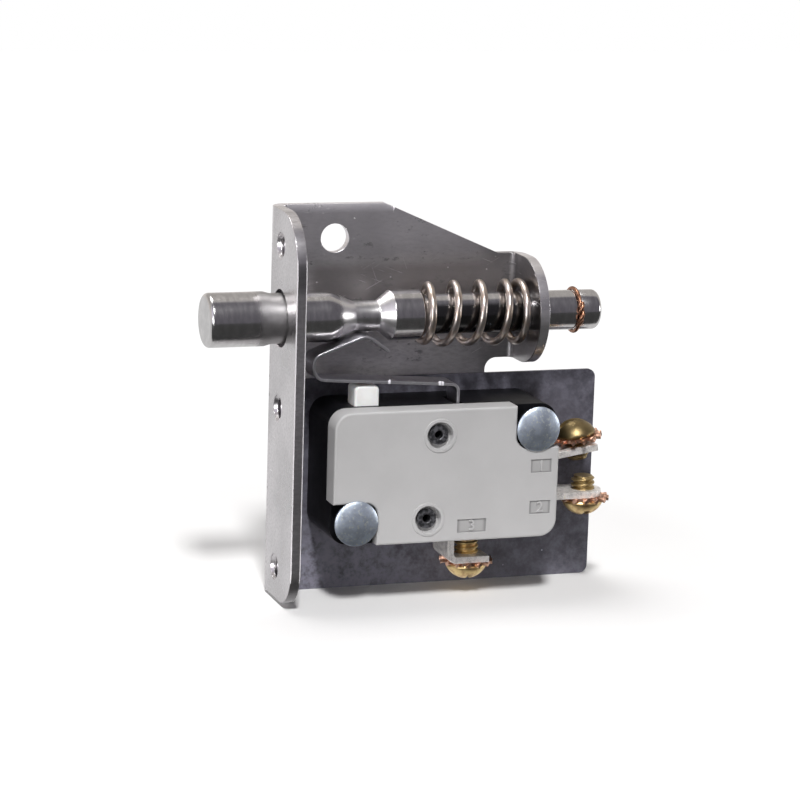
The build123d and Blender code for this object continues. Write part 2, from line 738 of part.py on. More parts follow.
def make_lockwasher():
    """An external tooth lock washer, lying from z = 0 to its thickness."""
    rim_r = WASHER_OD / 2 - WASHER_TOOTH_L
    star = Circle(rim_r)
    tooth_l = WASHER_TOOTH_L + WASHER_TOOTH_ROOT
    tooth = Pos(WASHER_OD / 2 - tooth_l / 2, 0) * Rectangle(tooth_l, WASHER_TOOTH_W)
    for i in range(WASHER_TEETH):
        star += Rot(0, 0, 360 * i / WASHER_TEETH) * tooth
    star -= Circle(WASHER_BORE_D / 2)
    return extrude(star, amount=WASHER_T)


def screw_places():
    """Frame of each lock washer's seat, with Z pointing to the head. NC is backed out."""
    flip = Rot(180, 0, 0)
    return {
        "nc": nc_frame() * Pos(NC_SCREW_ALONG, 0, NC_SCREW_OUT),
        "no": Pos(NO_SCREW_X, MID_Y, NO_TOP_Z - TAB_T) * flip,
        "com": Pos(COM_SCREW_X, COM_Y, COM_TOP_Z - TAB_T) * flip,
    }


def make_fixed_contact(top_z, side):
    """A contact rivet in a fixed arm. Its face meets the blade's contact, above or below."""
    low_z = top_z - TAB_T
    shank = rod_z(CONTACT_SHANK_D, low_z, top_z, CONTACT_X, MID_Y)
    if side > 0:
        face_z = BLADE_LOW_Z - MOVING_CONTACT_H - CONTACT_GAP
        return shank + rod_z(CONTACT_D, top_z, face_z, CONTACT_X, MID_Y)
    face_z = BLADE_TOP_Z + MOVING_CONTACT_H + CONTACT_TOUCH
    return shank + rod_z(CONTACT_D, face_z, low_z, CONTACT_X, MID_Y)


def make_moving_blade():
    half_w = BLADE_W / 2
    blade = box(
        BLADE_LEFT_X, BLADE_RIGHT_X, MID_Y - half_w, MID_Y + half_w, BLADE_LOW_Z, BLADE_TOP_Z
    )
    half_window = WINDOW_W / 2
    blade -= box(
        WINDOW_X,
        WINDOW_END_X,
        MID_Y - half_window,
        MID_Y + half_window,
        BLADE_LOW_Z,
        BLADE_TOP_Z,
    )
    blade -= rod_z(CONTACT_SHANK_D, BLADE_LOW_Z, BLADE_TOP_Z, CONTACT_X, MID_Y)
    return blade


def make_moving_contact():
    contact = rod_z(CONTACT_SHANK_D, BLADE_LOW_Z, BLADE_TOP_Z, CONTACT_X, MID_Y)
    contact += rod_z(CONTACT_D, BLADE_TOP_Z, BLADE_TOP_Z + MOVING_CONTACT_H, CONTACT_X, MID_Y)
    contact += rod_z(CONTACT_D, BLADE_LOW_Z - MOVING_CONTACT_H, BLADE_LOW_Z, CONTACT_X, MID_Y)
    return contact


def make_snap_spring():
    """The bowed tongue in the blade's window."""
    x0 = WINDOW_X + TONGUE_CLEAR
    x1 = WINDOW_END_X - TONGUE_CLEAR
    flat_end_x = BUTTON_X + STEM_W / 2
    upper = Polyline((x0, BLADE_Z), (flat_end_x, BLADE_Z))
    upper += SagittaArc((flat_end_x, BLADE_Z), (x1, BLADE_Z), -TONGUE_SAG)
    lower = Polyline((x0, BLADE_Z - TONGUE_T), (flat_end_x, BLADE_Z - TONGUE_T))
    lower += SagittaArc((flat_end_x, BLADE_Z - TONGUE_T), (x1, BLADE_Z - TONGUE_T), -TONGUE_SAG)
    ends = Line((x0, BLADE_Z), (x0, BLADE_Z - TONGUE_T))
    ends += Line((x1, BLADE_Z), (x1, BLADE_Z - TONGUE_T))
    face = make_face(upper + lower + ends)
    return prism_y(face, MID_Y - TONGUE_W / 2, MID_Y + TONGUE_W / 2)


def leaf_arm_low_z(x):
    """Height of the lower arm's underside at x."""
    slope = (LEAF_CORNER_Z - LEAF_ARM_Z) / LEAF_ARM_LEN
    return LEAF_ARM_Z + slope * (x - LEAF_ARM_X) - LEAF_T / 2


def make_switch_button():
    top_z = leaf_arm_low_z(BUTTON_X + BUTTON_W / 2) - LEAF_GAP
    collar_top_z = CASE_TOP_Z - WALL - BUTTON_CLEAR
    cap = box(
        BUTTON_X - BUTTON_W / 2,
        BUTTON_X + BUTTON_W / 2,
        MID_Y - BUTTON_D / 2,
        MID_Y + BUTTON_D / 2,
        collar_top_z - COLLAR_H,
        top_z,
    )
    edges = cap.edges().filter_by(Axis.Y).group_by(Axis.Z)[-1]
    cap = fillet(edges, BUTTON_EDGE_R)
    collar = box(
        BUTTON_X - BUTTON_W / 2 - COLLAR_OUT,
        BUTTON_X + BUTTON_W / 2 + COLLAR_OUT,
        MID_Y - BUTTON_D / 2 - COLLAR_OUT,
        MID_Y + BUTTON_D / 2 + COLLAR_OUT,
        collar_top_z - COLLAR_H,
        collar_top_z,
    )
    stem = box(
        BUTTON_X - STEM_W / 2,
        BUTTON_X + STEM_W / 2,
        MID_Y - STEM_D / 2,
        MID_Y + STEM_D / 2,
        BLADE_Z + STEM_CLEAR,
        collar_top_z,
    )
    return cap + collar + stem


def make_cam_leaf():
    turn_x = TANG_X - LEAF_TURN_LEN
    apex_x = WAIST_X + LEAF_APEX_IN
    apex_z = PLUNGER_Z - WAIST_D / 2 - LEAF_T / 2 - LEAF_WAIST_GAP
    line = FilletPolyline(
        (TANG_X, CASE_TOP_Z - TANG_DEPTH),
        (TANG_X, LEAF_CORNER_Z),
        (LEAF_ARM_X, LEAF_ARM_Z),
        (turn_x, CASE_TOP_Z + LEAF_TURN_H),
        (turn_x, PLUNGER_Z - LEAF_TURN_DROP),
        (apex_x, apex_z),
        (apex_x + LEAF_TIP_LEN, apex_z - LEAF_TIP_DROP),
        radius=(LEAF_BEND_R, LEAF_BEND_R, LEAF_TURN_R, LEAF_TURN_R, LEAF_BEND_R),
    )
    plane = Plane(origin=(0, MID_Y, 0), x_dir=(1, 0, 0), z_dir=(0, -1, 0))
    path = plane * line
    section = Plane(origin=path @ 0, x_dir=(1, 0, 0), z_dir=path % 0) * Rectangle(LEAF_T, LEAF_W)
    return sweep(section, path=path)


def make_all():
    nodes = {
        "bracket": make_bracket(),
        "insulator_sheet": make_insulator_sheet(),
        "mounting_rivets": make_mounting_rivets(),
        "switch_base": make_switch_base(),
        "switch_cover": make_switch_cover(),
        "case_eyelets": make_case_eyelets(),
        "com_terminal": make_com_terminal(),
        "no_terminal": make_no_terminal(),
        "nc_terminal": make_nc_terminal(),
        "no_contact": make_fixed_contact(NO_TOP_Z, 1),
        "nc_contact": make_fixed_contact(NC_TOP_Z, -1),
        "moving_blade": make_moving_blade(),
        "moving_contact": make_moving_contact(),
        "snap_spring": make_snap_spring(),
        "switch_button": make_switch_button(),
        "cam_leaf": make_cam_leaf(),
        "plunger": make_plunger(),
        "plunger_spring": make_plunger_spring(),
        "retaining_ring": make_retaining_ring(),
    }
    for name, place in screw_places().items():
        nodes[f"{name}_lockwasher"] = place * make_lockwasher()
        nodes[f"{name}_screw"] = place * Pos(0, 0, WASHER_T) * make_screw()
    return nodes


os.makedirs("parts", exist_ok=True)
for node, shape in make_all().items():
    export_step(shape, f"parts/{node}.step")
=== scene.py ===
import json
import math

import bmesh
import bpy
from mathutils import Matrix, Vector


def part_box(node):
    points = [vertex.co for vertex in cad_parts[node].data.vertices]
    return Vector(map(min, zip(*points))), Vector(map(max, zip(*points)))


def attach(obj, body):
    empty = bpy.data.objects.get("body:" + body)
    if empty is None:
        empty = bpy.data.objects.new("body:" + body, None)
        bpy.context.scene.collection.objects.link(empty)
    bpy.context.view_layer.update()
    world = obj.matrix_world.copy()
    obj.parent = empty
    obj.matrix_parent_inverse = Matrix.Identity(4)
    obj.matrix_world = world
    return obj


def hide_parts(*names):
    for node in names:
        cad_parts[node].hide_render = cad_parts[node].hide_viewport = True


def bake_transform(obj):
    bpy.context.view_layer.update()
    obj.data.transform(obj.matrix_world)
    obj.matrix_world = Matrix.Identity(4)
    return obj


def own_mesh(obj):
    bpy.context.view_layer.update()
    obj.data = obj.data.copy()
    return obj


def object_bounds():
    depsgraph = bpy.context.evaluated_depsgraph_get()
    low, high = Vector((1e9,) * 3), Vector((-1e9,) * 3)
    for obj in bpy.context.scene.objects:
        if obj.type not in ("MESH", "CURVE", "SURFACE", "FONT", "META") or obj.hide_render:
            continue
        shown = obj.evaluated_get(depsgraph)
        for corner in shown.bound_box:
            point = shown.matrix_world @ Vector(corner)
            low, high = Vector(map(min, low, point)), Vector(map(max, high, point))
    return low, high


# Dresses the plunger door interlock switch: a finish for every part, broken edges on the
# sheet and moulded parts, a wound spring, threads, toothed washers and the twisted ring.
# The scene is in metres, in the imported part's own frame; MM turns millimetres into metres.

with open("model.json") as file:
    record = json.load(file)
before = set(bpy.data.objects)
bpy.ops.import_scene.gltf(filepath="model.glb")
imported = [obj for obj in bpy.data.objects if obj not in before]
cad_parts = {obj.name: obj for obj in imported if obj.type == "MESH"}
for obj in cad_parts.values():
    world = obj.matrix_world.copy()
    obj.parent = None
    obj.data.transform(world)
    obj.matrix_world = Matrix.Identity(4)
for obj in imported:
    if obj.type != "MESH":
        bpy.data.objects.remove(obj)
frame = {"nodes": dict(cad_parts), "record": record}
CAD_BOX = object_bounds()
MM = 0.001

bl_info = {
    "name": "Plunger door interlock switch",
    "version": (1, 0, 0),
    "blender": (4, 5, 0),
    "location": "View3D > Sidebar > Interlock",
    "description": "Dresses a plunger door interlock switch around its packed frame",
    "category": "Object",
}

# The camera, worked out from the photograph: its place, its turns and its lens
CAMERA_PLACE = Vector((-96.03, -320.28, 70.57)) * MM
CAMERA_YAW = math.radians(19.119)
CAMERA_PITCH = math.radians(11.714)
CAMERA_ROLL = math.radians(1.754)
PICTURE_WIDTH = 800
FOCAL_PIXELS = 2940.79
SENSOR_WIDTH = 36.0

# The room as metal mirrors it: its greys, the directions where one turns into the next,
# the share of it that lights the object, and its lean to blue, which is less behind
FRONT_GREY = 0.14
LEFT_GREY = 0.75
BACK_WHITE = 0.78
CEILING_GREY = 0.5
LEFT_TURN = (0.42, 0.8)
BACK_TURN = (-0.08, 0.06)
CEILING_TURN = (0.08, 0.5)
DIFFUSE_SHARE = 0.35
GREEN_LOSS = 0.045
BLUE_GAIN = 0.09

# The floor, in millimetres where it fades, and in metres for its corners
FLOOR_MIDDLE = (20.0, 15.0)
FLOOR_FADE = (36.0, 60.0)
FLOOR_BACK_Y = (-8.0, 0.0)
FLOOR_MIRRORED = 0.68
FLOOR_DARK = (0.05, 0.05, 0.05, 1.0)
FLOOR_CORNERS = ((-0.5, -0.3), (0.6, -0.3), (0.6, 0.7), (-0.5, 0.7))

# Each lamp's name, direction from the object's middle, width, height and power
LAMP_REACH = 1.0
LAMPS = (
    ("left_lamp", (-0.74, -0.66, 0.05), 0.44, 0.52, 3.6),
    ("right_lamp", (0.95, -0.30, 0.06), 0.20, 0.32, 1.6),
    ("key_lamp", (-0.16, -0.60, 0.78), 0.10, 0.18, 8.5),
    ("top_lamp", (-0.15, 0.3, 0.94), 0.46, 0.46, 3.7),
)

BRACKET_BODY = "bracket_frame"
ROD_BODY = "plunger_rod"
LEAF_BODY = "leaf_lever"
BUTTON_BODY = "button"

# Sizes of the bracket, in millimetres
SHEET_T = 1.2
PANEL_HOLE_R = 1.65
PANEL_HOLES_Z = (-19.05, 0.0, 19.05)

# Stations of the plunger along X and its radii, in millimetres
HEAD_EDGE_R = 0.55
HEAD_TAPER_X = -2.1
BODY_X = -1.2
BODY_R = 2.94
RAMP_X = 5.4
RAMP_MID_X = 7.2
RAMP_MID_R = 2.475
RAMP_SLOPE = -0.46
WAIST_X = 8.8
WAIST_R = 1.79
WAIST_SLOPE = -0.3
WAIST_END_X = 11.75
CONE_END_X = 13.3
SHOULDER_X = 16.8
ROD_X = 17.6
ROD_R = 2.38
ROD_EDGE_R = 0.7
GROOVE_X = 36.175
GROOVE_END_X = 36.725
GROOVE_R = 2.22

# The spring's first half turn is drawn in on the shoulder; its start is set by the photograph
COIL_START = math.radians(-47)
SEAT_RISE = 0.4 * MM
SEAT_DRAW_IN = 0.35 * MM
SEAT_TURNS = 0.5
CLOSED_TURNS = 1.0

# Corners (x, z, radius) of the leaf's centre line, and burrs (x, height), in millimetres
LEAF_LINE = (
    (21.1, -0.4, 0.0),
    (21.1, 2.55, 0.85),
    (16.0, 2.9, 6.0),
    (7.4, 3.45, 6.0),
    (3.3, 3.72, 1.45),
    (3.3, 6.3, 1.25),
    (6.4, 7.45, 8.0),
    (9.75, 8.72, 1.7),
    (12.35, 6.78, 0.0),
)
LEAF_BURRS = ((12.5, 0.2), (18.75, 0.26), (19.1, 0.16))
BURRS_BELOW_Z = 4.0
BURR_WIDTH = 0.16
LEAF_STEP = 0.25

# The cover's sunk frames, measured from the cover's edges
EYELET_RIM = 0.12 * MM
LABEL_DEPTH = 0.15 * MM
LABEL_INSET = 2.2 * MM
LABEL_RISE = 1.8 * MM
LABEL_SIZE = (2.6 * MM, 1.6 * MM)
LABEL_WIDE = 3.6 * MM
LABEL_BEFORE_SCREW = 1.5 * MM
NUMBER_HEIGHT = 1.25 * MM

# Terminal screws and washers; the normally closed screw leans with its tab
NC_TILT = math.radians(9.0)
WASHER_T = 0.5 * MM
TAB_T = 0.8 * MM
STUB = 1.6 * MM
HEAD_R = 2.45 * MM
HEAD_RIM = 0.35 * MM
HEAD_CROWN = 1.95 * MM
HEAD_FOOT = 0.12 * MM
SLOT_WIDTH = 0.7 * MM
SLOT_DEPTH = 0.8 * MM
SHANK_D = 2.84 * MM
THREAD_DEPTH = 0.32 * MM

# Where looks change, in millimetres: a step has its start and its end, and a band has
# the start and end of its rise and the start and end of its fall
PLATE_Y = (3.0, 3.6)
# The heights where painted light lightens the upper plate
PAINTED_LIGHT_Z = (15.5, 20.0)
SHADED_X = (2.0, 6.0)
SHADED_Z = (9.0, 12.0, 15.0, 17.5)
LUG_X = (24.5, 28.5)
LUG_Z = (1.5, 3.0)
LUG_INNER_X = (30.45, 30.5)
FLANGE_EDGE_Y = -6.5
LUG_EDGE_X = (20.0, 21.0)
LUG_EDGE_Y = -4.9
# The heights of the flange edge's arc that takes painted shade
GLARE_Z = (13.5, 15.5, 19.5, 21.5)
NECK = (-3.6, -2.4, 0.2, 1.0)
RAMP = (6.4, 7.4, 8.6, 9.0)
WAIST = (8.4, 9.0, 11.6, 12.0)
CONE = (11.5, 11.8, 13.2, 13.5)
# Where the rod under the spring takes painted shade
UNDER_COIL = (17.4, 18.4, 29.6, 30.4)
HANDLED_X = (4.0, 26.0)
HANDLED_Z = (-21.0, -12.0)

MERGE_GAP = 0.002 * MM
FLAT_TURN = math.radians(0.4)
NORMAL_WEIGHT = 60


def centre(node):
    low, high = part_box(node)
    return (low + high) / 2


AXIS_Z = centre("plunger").z


class Maker:
    """Adds nodes to one tree, each by its type, its sockets and its settings."""

    def __init__(self, tree):
        self.tree = tree

    def node(self, kind, sockets=None, **settings):
        made = self.tree.nodes.new(kind)
        for name, value in settings.items():
            setattr(made, name, value)
        for key, value in (sockets or {}).items():
            self.plug(made.inputs[key], value)
        return made

    def plug(self, socket, value):
        """Link a socket to a number, a node or another socket, or give it a value."""
        if isinstance(value, Number):
            value = value.source
        if isinstance(value, bpy.types.Node):
            value = value.outputs[0]
        if isinstance(value, bpy.types.NodeSocket):
            self.tree.links.new(value, socket)
        else:
            socket.default_value = value

    def maths(self, operation, *values):
        sockets = dict(enumerate(values))
        return Number(self, self.node("ShaderNodeMath", sockets, operation=operation))

    def combine(self, x, y, z):
        return self.node("ShaderNodeCombineXYZ", {0: x, 1: y, 2: z})

    def split(self, vector):
        parts = self.node("ShaderNodeSeparateXYZ", {0: vector}).outputs
        return [Number(self, part) for part in parts]


class Number:
    """A number from a node or a socket; each operator on it adds a Math node."""

    def __init__(self, maker, source):
        self.maker = maker
        self.source = source

    def math(self, operation, *others):
        return self.maker.maths(operation, self, *others)

    def __add__(self, other):
        return self.math("ADD", other)

    __radd__ = __add__

    def __sub__(self, other):
        return self.math("SUBTRACT", other)

    def __rsub__(self, other):
        return self.maker.maths("SUBTRACT", other, self)

    def __mul__(self, other):
        return self.math("MULTIPLY", other)

    __rmul__ = __mul__

    def __truediv__(self, other):
        return self.math("DIVIDE", other)

    def __rtruediv__(self, other):
        return self.maker.maths("DIVIDE", other, self)

    def __pow__(self, other):
        return self.math("POWER", other)

    def above(self, low, high):
        """A soft step: 0 up to low, and 1 from high on."""
        sockets = {0: self, 1: low, 2: high, 3: 0.0, 4: 1.0}
        kind = "ShaderNodeMapRange"
        return Number(self.maker, self.maker.node(kind, sockets, interpolation_type="SMOOTHSTEP"))

    def between(self, low, full, fading, gone):
        """A soft band: a step up and then a step down."""
        return self.above(low, full) * (1.0 - self.above(fading, gone))


SOCKETS = {
    "metallic": "Metallic",
    "specular": "Specular IOR Level",
    "subsurface": "Subsurface Weight",
    "subsurface_scale": "Subsurface Scale",
}


class Finish(Maker):
    """One material: a Principled shader, its base colour and the patterns that feed it."""

    def __init__(self, name, base, **uniform):
        self.base = base
        self.material = bpy.data.materials.new(name)
        self.material.use_nodes = True
        super().__init__(self.material.node_tree)
        self.tree.nodes.clear()
        self.shader = self.node("ShaderNodeBsdfPrincipled")
        for socket, value in uniform.items():
            self.shader.inputs[SOCKETS[socket]].default_value = value
        self.node("ShaderNodeOutputMaterial", {0: self.shader})
        self.place = self.node("ShaderNodeTexCoord").outputs["Object"]

    def millimetres(self):
        """The place on the piece along X, Y and Z, in millimetres."""
        return [part / MM for part in self.split(self.place)]

    def spread(self, size, stretch=(1, 1, 1), turn=(0, 0, 0)):
        """Object coordinates in units of a size in millimetres, longer along a stretch."""
        scale = tuple(size * MM * part for part in stretch)
        sockets = {"Vector": self.place, "Rotation": turn, "Scale": scale}
        return self.node("ShaderNodeMapping", sockets, vector_type="TEXTURE")

    def noise(self, size, stretch=(1, 1, 1), turn=(0, 0, 0), detail=3.0, rough=0.55):
        vector = self.spread(size, stretch, turn)
        sockets = {"Vector": vector, "Scale": 1.0, "Detail": detail, "Roughness": rough}
        return Number(self, self.node("ShaderNodeTexNoise", sockets))

    def specks(self, size, share):
        """Small separate spots, a share of a cell wide."""
        cells = self.node("ShaderNodeTexVoronoi", {"Vector": self.spread(size), "Scale": 1.0})
        return 1.0 - Number(self, cells.outputs["Distance"]).above(share * 0.5, share)

    def scratches(self, turn, where=0.5):
        """Fine straight scratches at one turn about Y, here and there."""
        lines = self.noise(0.09, (60, 60, 1), (0, turn, 0), 1.0)
        return lines.above(0.69, 0.76) * self.noise(3.5).above(where, where + 0.15)

    def tint(self, value):
        """A share of the base colour, or of each channel; a link or a full colour stays."""
        if isinstance(value, float):
            value = (value,) * 3
        if isinstance(value, tuple) and len(value) == 3:
            value = (*(part * share for part, share in zip(self.base, value)), 1.0)
        return value

    def mix(self, factor, first, second):
        """A colour between two, each a link, a full colour or a share of the base."""
        sockets = {0: factor, 6: self.tint(first), 7: self.tint(second)}
        return self.node("ShaderNodeMix", sockets, data_type="RGBA").outputs[2]

    def colour(self, socket):
        self.plug(self.shader.inputs["Base Color"], socket)

    def roughness(self, value):
        self.plug(self.shader.inputs["Roughness"], value)

    def bump(self, height, depth):
        """Relief from a height between 0 and 1, of a depth in millimetres."""
        sockets = {"Strength": 1.0, "Distance": depth * MM, "Height": height}
        self.plug(self.shader.inputs["Normal"], self.node("ShaderNodeBump", sockets))


def nickel_sheet(base):
    """Dull nickel plated sheet: rolled grain, smudges, pits, scratches and burred edges, with
    painted light on the upper plate, painted shade above the rod, on the lug's face and on the
    flange edge's top arc, and burrs lightened as painted glints.
    """
    paint = Finish("nickel_sheet", base, metallic=1.0)
    x, y, z = paint.millimetres()
    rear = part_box("bracket")[1].y / MM
    plate = y.above(*PLATE_Y)
    inside = 1.0 - y.above(rear - 0.4, rear - 0.1)
    # The plate just above the rod, where painted shade goes
    painted_shade_above_rod = plate * inside * x.above(*SHADED_X) * z.between(*SHADED_Z)
    rearward = x.above(*LUG_X) * z.above(*LUG_Z)
    cut = x.above(*LUG_INNER_X) * rearward
    lug = rearward * (1.0 - cut) * inside
    sheared = (FLANGE_EDGE_Y - y).above(0.0, 0.1)
    sheared = sheared + x.above(*LUG_EDGE_X) * (LUG_EDGE_Y - y).above(0.0, 0.08)
    painted_arc_shade = sheared * z.between(*GLARE_Z)
    rim = (x / SHEET_T - 0.5).math("ABSOLUTE").above(0.38, 0.42)
    rim = rim * (FLANGE_EDGE_Y + 0.1 - y).above(0.0, 0.1)
    burr_glint = (rim * paint.noise(0.25, detail=3.0, rough=0.7)).above(0.24, 0.36)
    cloud = paint.noise(9.0, detail=4.0)
    grain = paint.noise(0.12, (12, 12, 1), detail=2.0)
    streak = paint.noise(0.35, (3, 1, 1), detail=5.0, rough=0.7)
    smudge = paint.noise(1.0, (2.2, 2.2, 1), detail=5.0, rough=0.75).above(0.56, 0.66)
    smudge = smudge * paint.noise(5.0).above(0.42, 0.58)
    smudge = smudge * (plate * 0.9 + 0.1) * (inside * 0.6 + 0.4)
    marks = paint.scratches(0.35) + paint.scratches(-0.5) + paint.scratches(1.2, 0.55)
    dust = paint.specks(1.6, 0.07) * plate
    tone = paint.mix(cloud.above(0.3, 0.7), 0.84, 1.12)
    tone = paint.mix(streak.above(0.42, 0.62) * 0.4, tone, 0.62)
    # painted light: the upper part of the plate is lightened
    tone = paint.mix(plate * z.above(*PAINTED_LIGHT_Z) * 0.5, tone, 1.5)
    # painted shade: the plate above the rod is darkened to a dark brownish grey
    tone = paint.mix(painted_shade_above_rod * 0.88, tone, (0.19, 0.175, 0.175, 1.0))
    # painted shade: the lug's face is darkened
    tone = paint.mix(lug * 0.75, tone, 0.3)
    tone = paint.mix(cut * 0.3, tone, 1.35)
    tone = paint.mix(smudge * 0.75, tone, 0.22)
    tone = paint.mix(dust * 0.6, tone, 1.2)
    tone = paint.mix(marks.above(0.2, 1.0) * 0.6, tone, 1.55)
    # painted shade: the sheared edge is darkened on the flange's top arc, where a lamp's
    # highlight falls
    tone = paint.mix(painted_arc_shade * 0.7, tone, 0.25)
    # burrs along the flange's edges, lightened and made less metallic as painted glints
    paint.colour(paint.mix(burr_glint, tone, 1.3))
    dull = (burr_glint * 0.85 + dust * 0.6 + cut * 0.04).math("MINIMUM", 1.0)
    paint.plug(paint.shader.inputs["Metallic"], 1.0 - dull)
    worn = smudge * 0.12 + plate * 0.1 + painted_shade_above_rod * 0.18 + sheared * 0.08
    paint.roughness(0.24 + cloud * 0.08 + worn)
    relief = grain * 0.6 + marks * 0.4 + paint.noise(0.6) * 0.3 + burr_glint * 6.0
    paint.bump(relief + sheared * paint.noise(0.1, detail=2.0) * 2.0, 0.006)
    return paint.material


def turned_steel(base):
    """Ground and turned steel: tool lines round its axis, painted highlights on the ramp and
    cone, and painted shade at the neck and on the rod under the spring.
    """
    paint = Finish("turned_steel", base, metallic=1.0)
    lines = paint.noise(0.1, (1, 60, 60), detail=2.0)
    wear = paint.noise(0.5, (1, 3, 3), detail=4.0)
    x, _, z = paint.millimetres()
    neck, ramp, waist, cone = (x.between(*band) for band in (NECK, RAMP, WAIST, CONE))
    painted_shade_under_coil = x.between(*UNDER_COIL) * (1.0 - (z - AXIS_Z / MM).above(1.1, 1.7))
    tone = paint.mix(wear.above(0.35, 0.7), 0.9, 1.06)
    # painted highlights: the ramp and the cone are lightened
    tone = paint.mix((ramp + cone * 0.7).math("MINIMUM", 1.0), tone, 1.35)
    # painted shade: the neck, where the head tapers into the body, is darkened
    tone = paint.mix(neck * 0.9, tone, 0.62)
    # painted shade: the rod under the spring, below its top, is darkened almost to black
    paint.colour(paint.mix(painted_shade_under_coil * 0.95, tone, 0.1))
    paint.roughness(0.15 + wear * 0.08 + waist * 0.1 + cone * 0.1 + ramp * 0.14 + neck * 0.22)
    paint.bump(lines * (0.35 + waist * 1.8) + wear * 0.15, 0.004)
    return paint.material


def drawn_wire(base):
    """Spring wire, drawn and a little brown."""
    paint = Finish("spring_wire", base, metallic=1.0)
    stain = paint.noise(1.3, detail=3.0)
    paint.colour(paint.mix(stain.above(0.35, 0.7), 1.0, (0.95, 0.86, 0.76)))
    paint.roughness(0.26 + stain * 0.08)
    paint.bump(paint.noise(0.7, detail=1.0), 0.002)
    return paint.material


def leaf_strip(base):
    """Blued spring strip with a cut edge darkened as painted shade, and burrs on it brightened as
    painted glints.
    """
    paint = Finish("leaf_strip", base, metallic=1.0)
    cloud = paint.noise(2.5, detail=4.0)
    x, y, z = paint.millimetres()
    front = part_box("cam_leaf")[0].y / MM
    burrs = 0.0
    for place, _ in LEAF_BURRS:
        burrs = 1.0 - (x - place).math("ABSOLUTE").above(0.08, 0.22) + burrs
    burrs = burrs.math("MINIMUM", 1.0) * (1.0 - z.above(BURRS_BELOW_Z, BURRS_BELOW_Z + 0.4))
    cut = 1.0 - y.above(front + 0.04, front + 0.1)
    cut = cut * (paint.noise(0.5, detail=3.0).above(0.35, 0.6) * 0.6 + 0.4)
    burrs = burrs * cut.above(0.1, 0.3)
    # painted shade: the cut edge is darkened
    tone = paint.mix(cut, paint.mix(cloud.above(0.3, 0.7), 0.8, 1.1), 0.72)
    # the burrs are brightened and made less metallic, as painted glints
    paint.colour(paint.mix(burrs, tone, 1.75))
    paint.plug(paint.shader.inputs["Metallic"], 1.0 - (cut * 0.3).math("MAXIMUM", burrs))
    paint.roughness(0.24 + cloud * 0.12)
    paint.bump(paint.noise(0.15, (1, 8, 1), detail=2.0), 0.005)
    return paint.material


def zinc_plate(base):
    """Blue white zinc plate, mottled by its crystals."""
    paint = Finish("zinc_plate", base, metallic=0.95)
    crystals = paint.noise(0.32, detail=2.0)
    blotch = paint.noise(1.2, detail=3.0)
    tone = paint.mix(blotch.above(0.35, 0.65), 0.82, 1.06)
    paint.colour(paint.mix(crystals.above(0.55, 0.68) * 0.55, tone, (1.45, 1.35, 1.1)))
    paint.roughness(0.36 + crystals * 0.12)
    paint.bump(crystals + blotch, 0.012)
    return paint.material


def dark_eyelet(base):
    """Dark formed steel of the case eyelets, stained in patches."""
    paint = Finish("dark_eyelet", base, metallic=0.9)
    stain = paint.noise(0.45, detail=4.0)
    paint.colour(paint.mix(stain.above(0.4, 0.65), 0.7, 2.4))
    paint.roughness(0.32 + stain * 0.15)
    paint.bump(stain, 0.02)
    return paint.material


def cover_moulding(base, frames):
    """Light grey moulding, matt, with handling marks and dirt, and painted shade in its sunk
    frames, darkest along their borders.
    """
    paint = Finish("cover_moulding", base, specular=0.4)
    x, y, z = paint.split(paint.place)
    cloud = paint.noise(6.0, detail=4.0)
    dirt = paint.noise(0.5, detail=5.0, rough=0.7).above(0.64, 0.75)
    tone = paint.mix(cloud.above(0.3, 0.7), 0.97, 1.03)
    tone = paint.mix(dirt * 0.35, tone, (0.86, 0.83, 0.76))
    for low, high in frames:
        middle = (low + high) / 2
        half = (high - low) / 2
        across = ((x - middle.x) / half.x).math("ABSOLUTE")
        upward = ((z - middle.z) / half.z).math("ABSOLUTE")
        far = across.math("MAXIMUM", upward)
        sunk = (1.0 - far.above(0.98, 1.02)) * y.above(low.y, high.y)
        # painted shade in each sunk frame, darkest along its border
        tone = paint.mix(sunk * (0.35 + far.above(0.72, 0.95) * 0.55), tone, 0.5)
    paint.colour(tone)
    paint.roughness(0.5 + cloud * 0.12)
    paint.bump(paint.noise(0.22, detail=3.0), 0.008)
    return paint.material


def base_moulding(base):
    """Black thermoset moulding with a slight sheen."""
    paint = Finish("base_moulding", base, specular=0.25)
    cloud = paint.noise(1.8, detail=4.0)
    paint.colour(paint.mix(cloud.above(0.35, 0.7), 1.0, 1.7))
    paint.roughness(0.38 + cloud * 0.14)
    paint.bump(paint.noise(0.3, detail=3.0), 0.012)
    return paint.material


def fibre_sheet(base):
    """Blue black insulating sheet: mottled fibre with dust and a soft sheen."""
    paint = Finish("fibre_sheet", base)
    x, _, z = paint.millimetres()
    fibre = paint.noise(0.9, (2, 2, 2), detail=5.0, rough=0.75)
    handled = (1.0 - z.above(*HANDLED_Z)) * (1.0 - x.above(*HANDLED_X))
    cloud = paint.noise(7.0, detail=3.0)
    dust = paint.specks(1.9, 0.06) * paint.noise(5.0).above(0.45, 0.6)
    tone = paint.mix(fibre.above(0.35, 0.7), 0.72, 1.6)
    tone = paint.mix(cloud.above(0.4, 0.7) * 0.3, tone, 1.9)
    tone = paint.mix(handled * fibre.above(0.3, 0.6), tone, 2.4)
    paint.colour(paint.mix(dust * 0.7, tone, 7.0))
    paint.roughness(0.42 + fibre * 0.14)
    paint.bump(fibre + paint.noise(0.2) * 0.5, 0.014)
    return paint.material


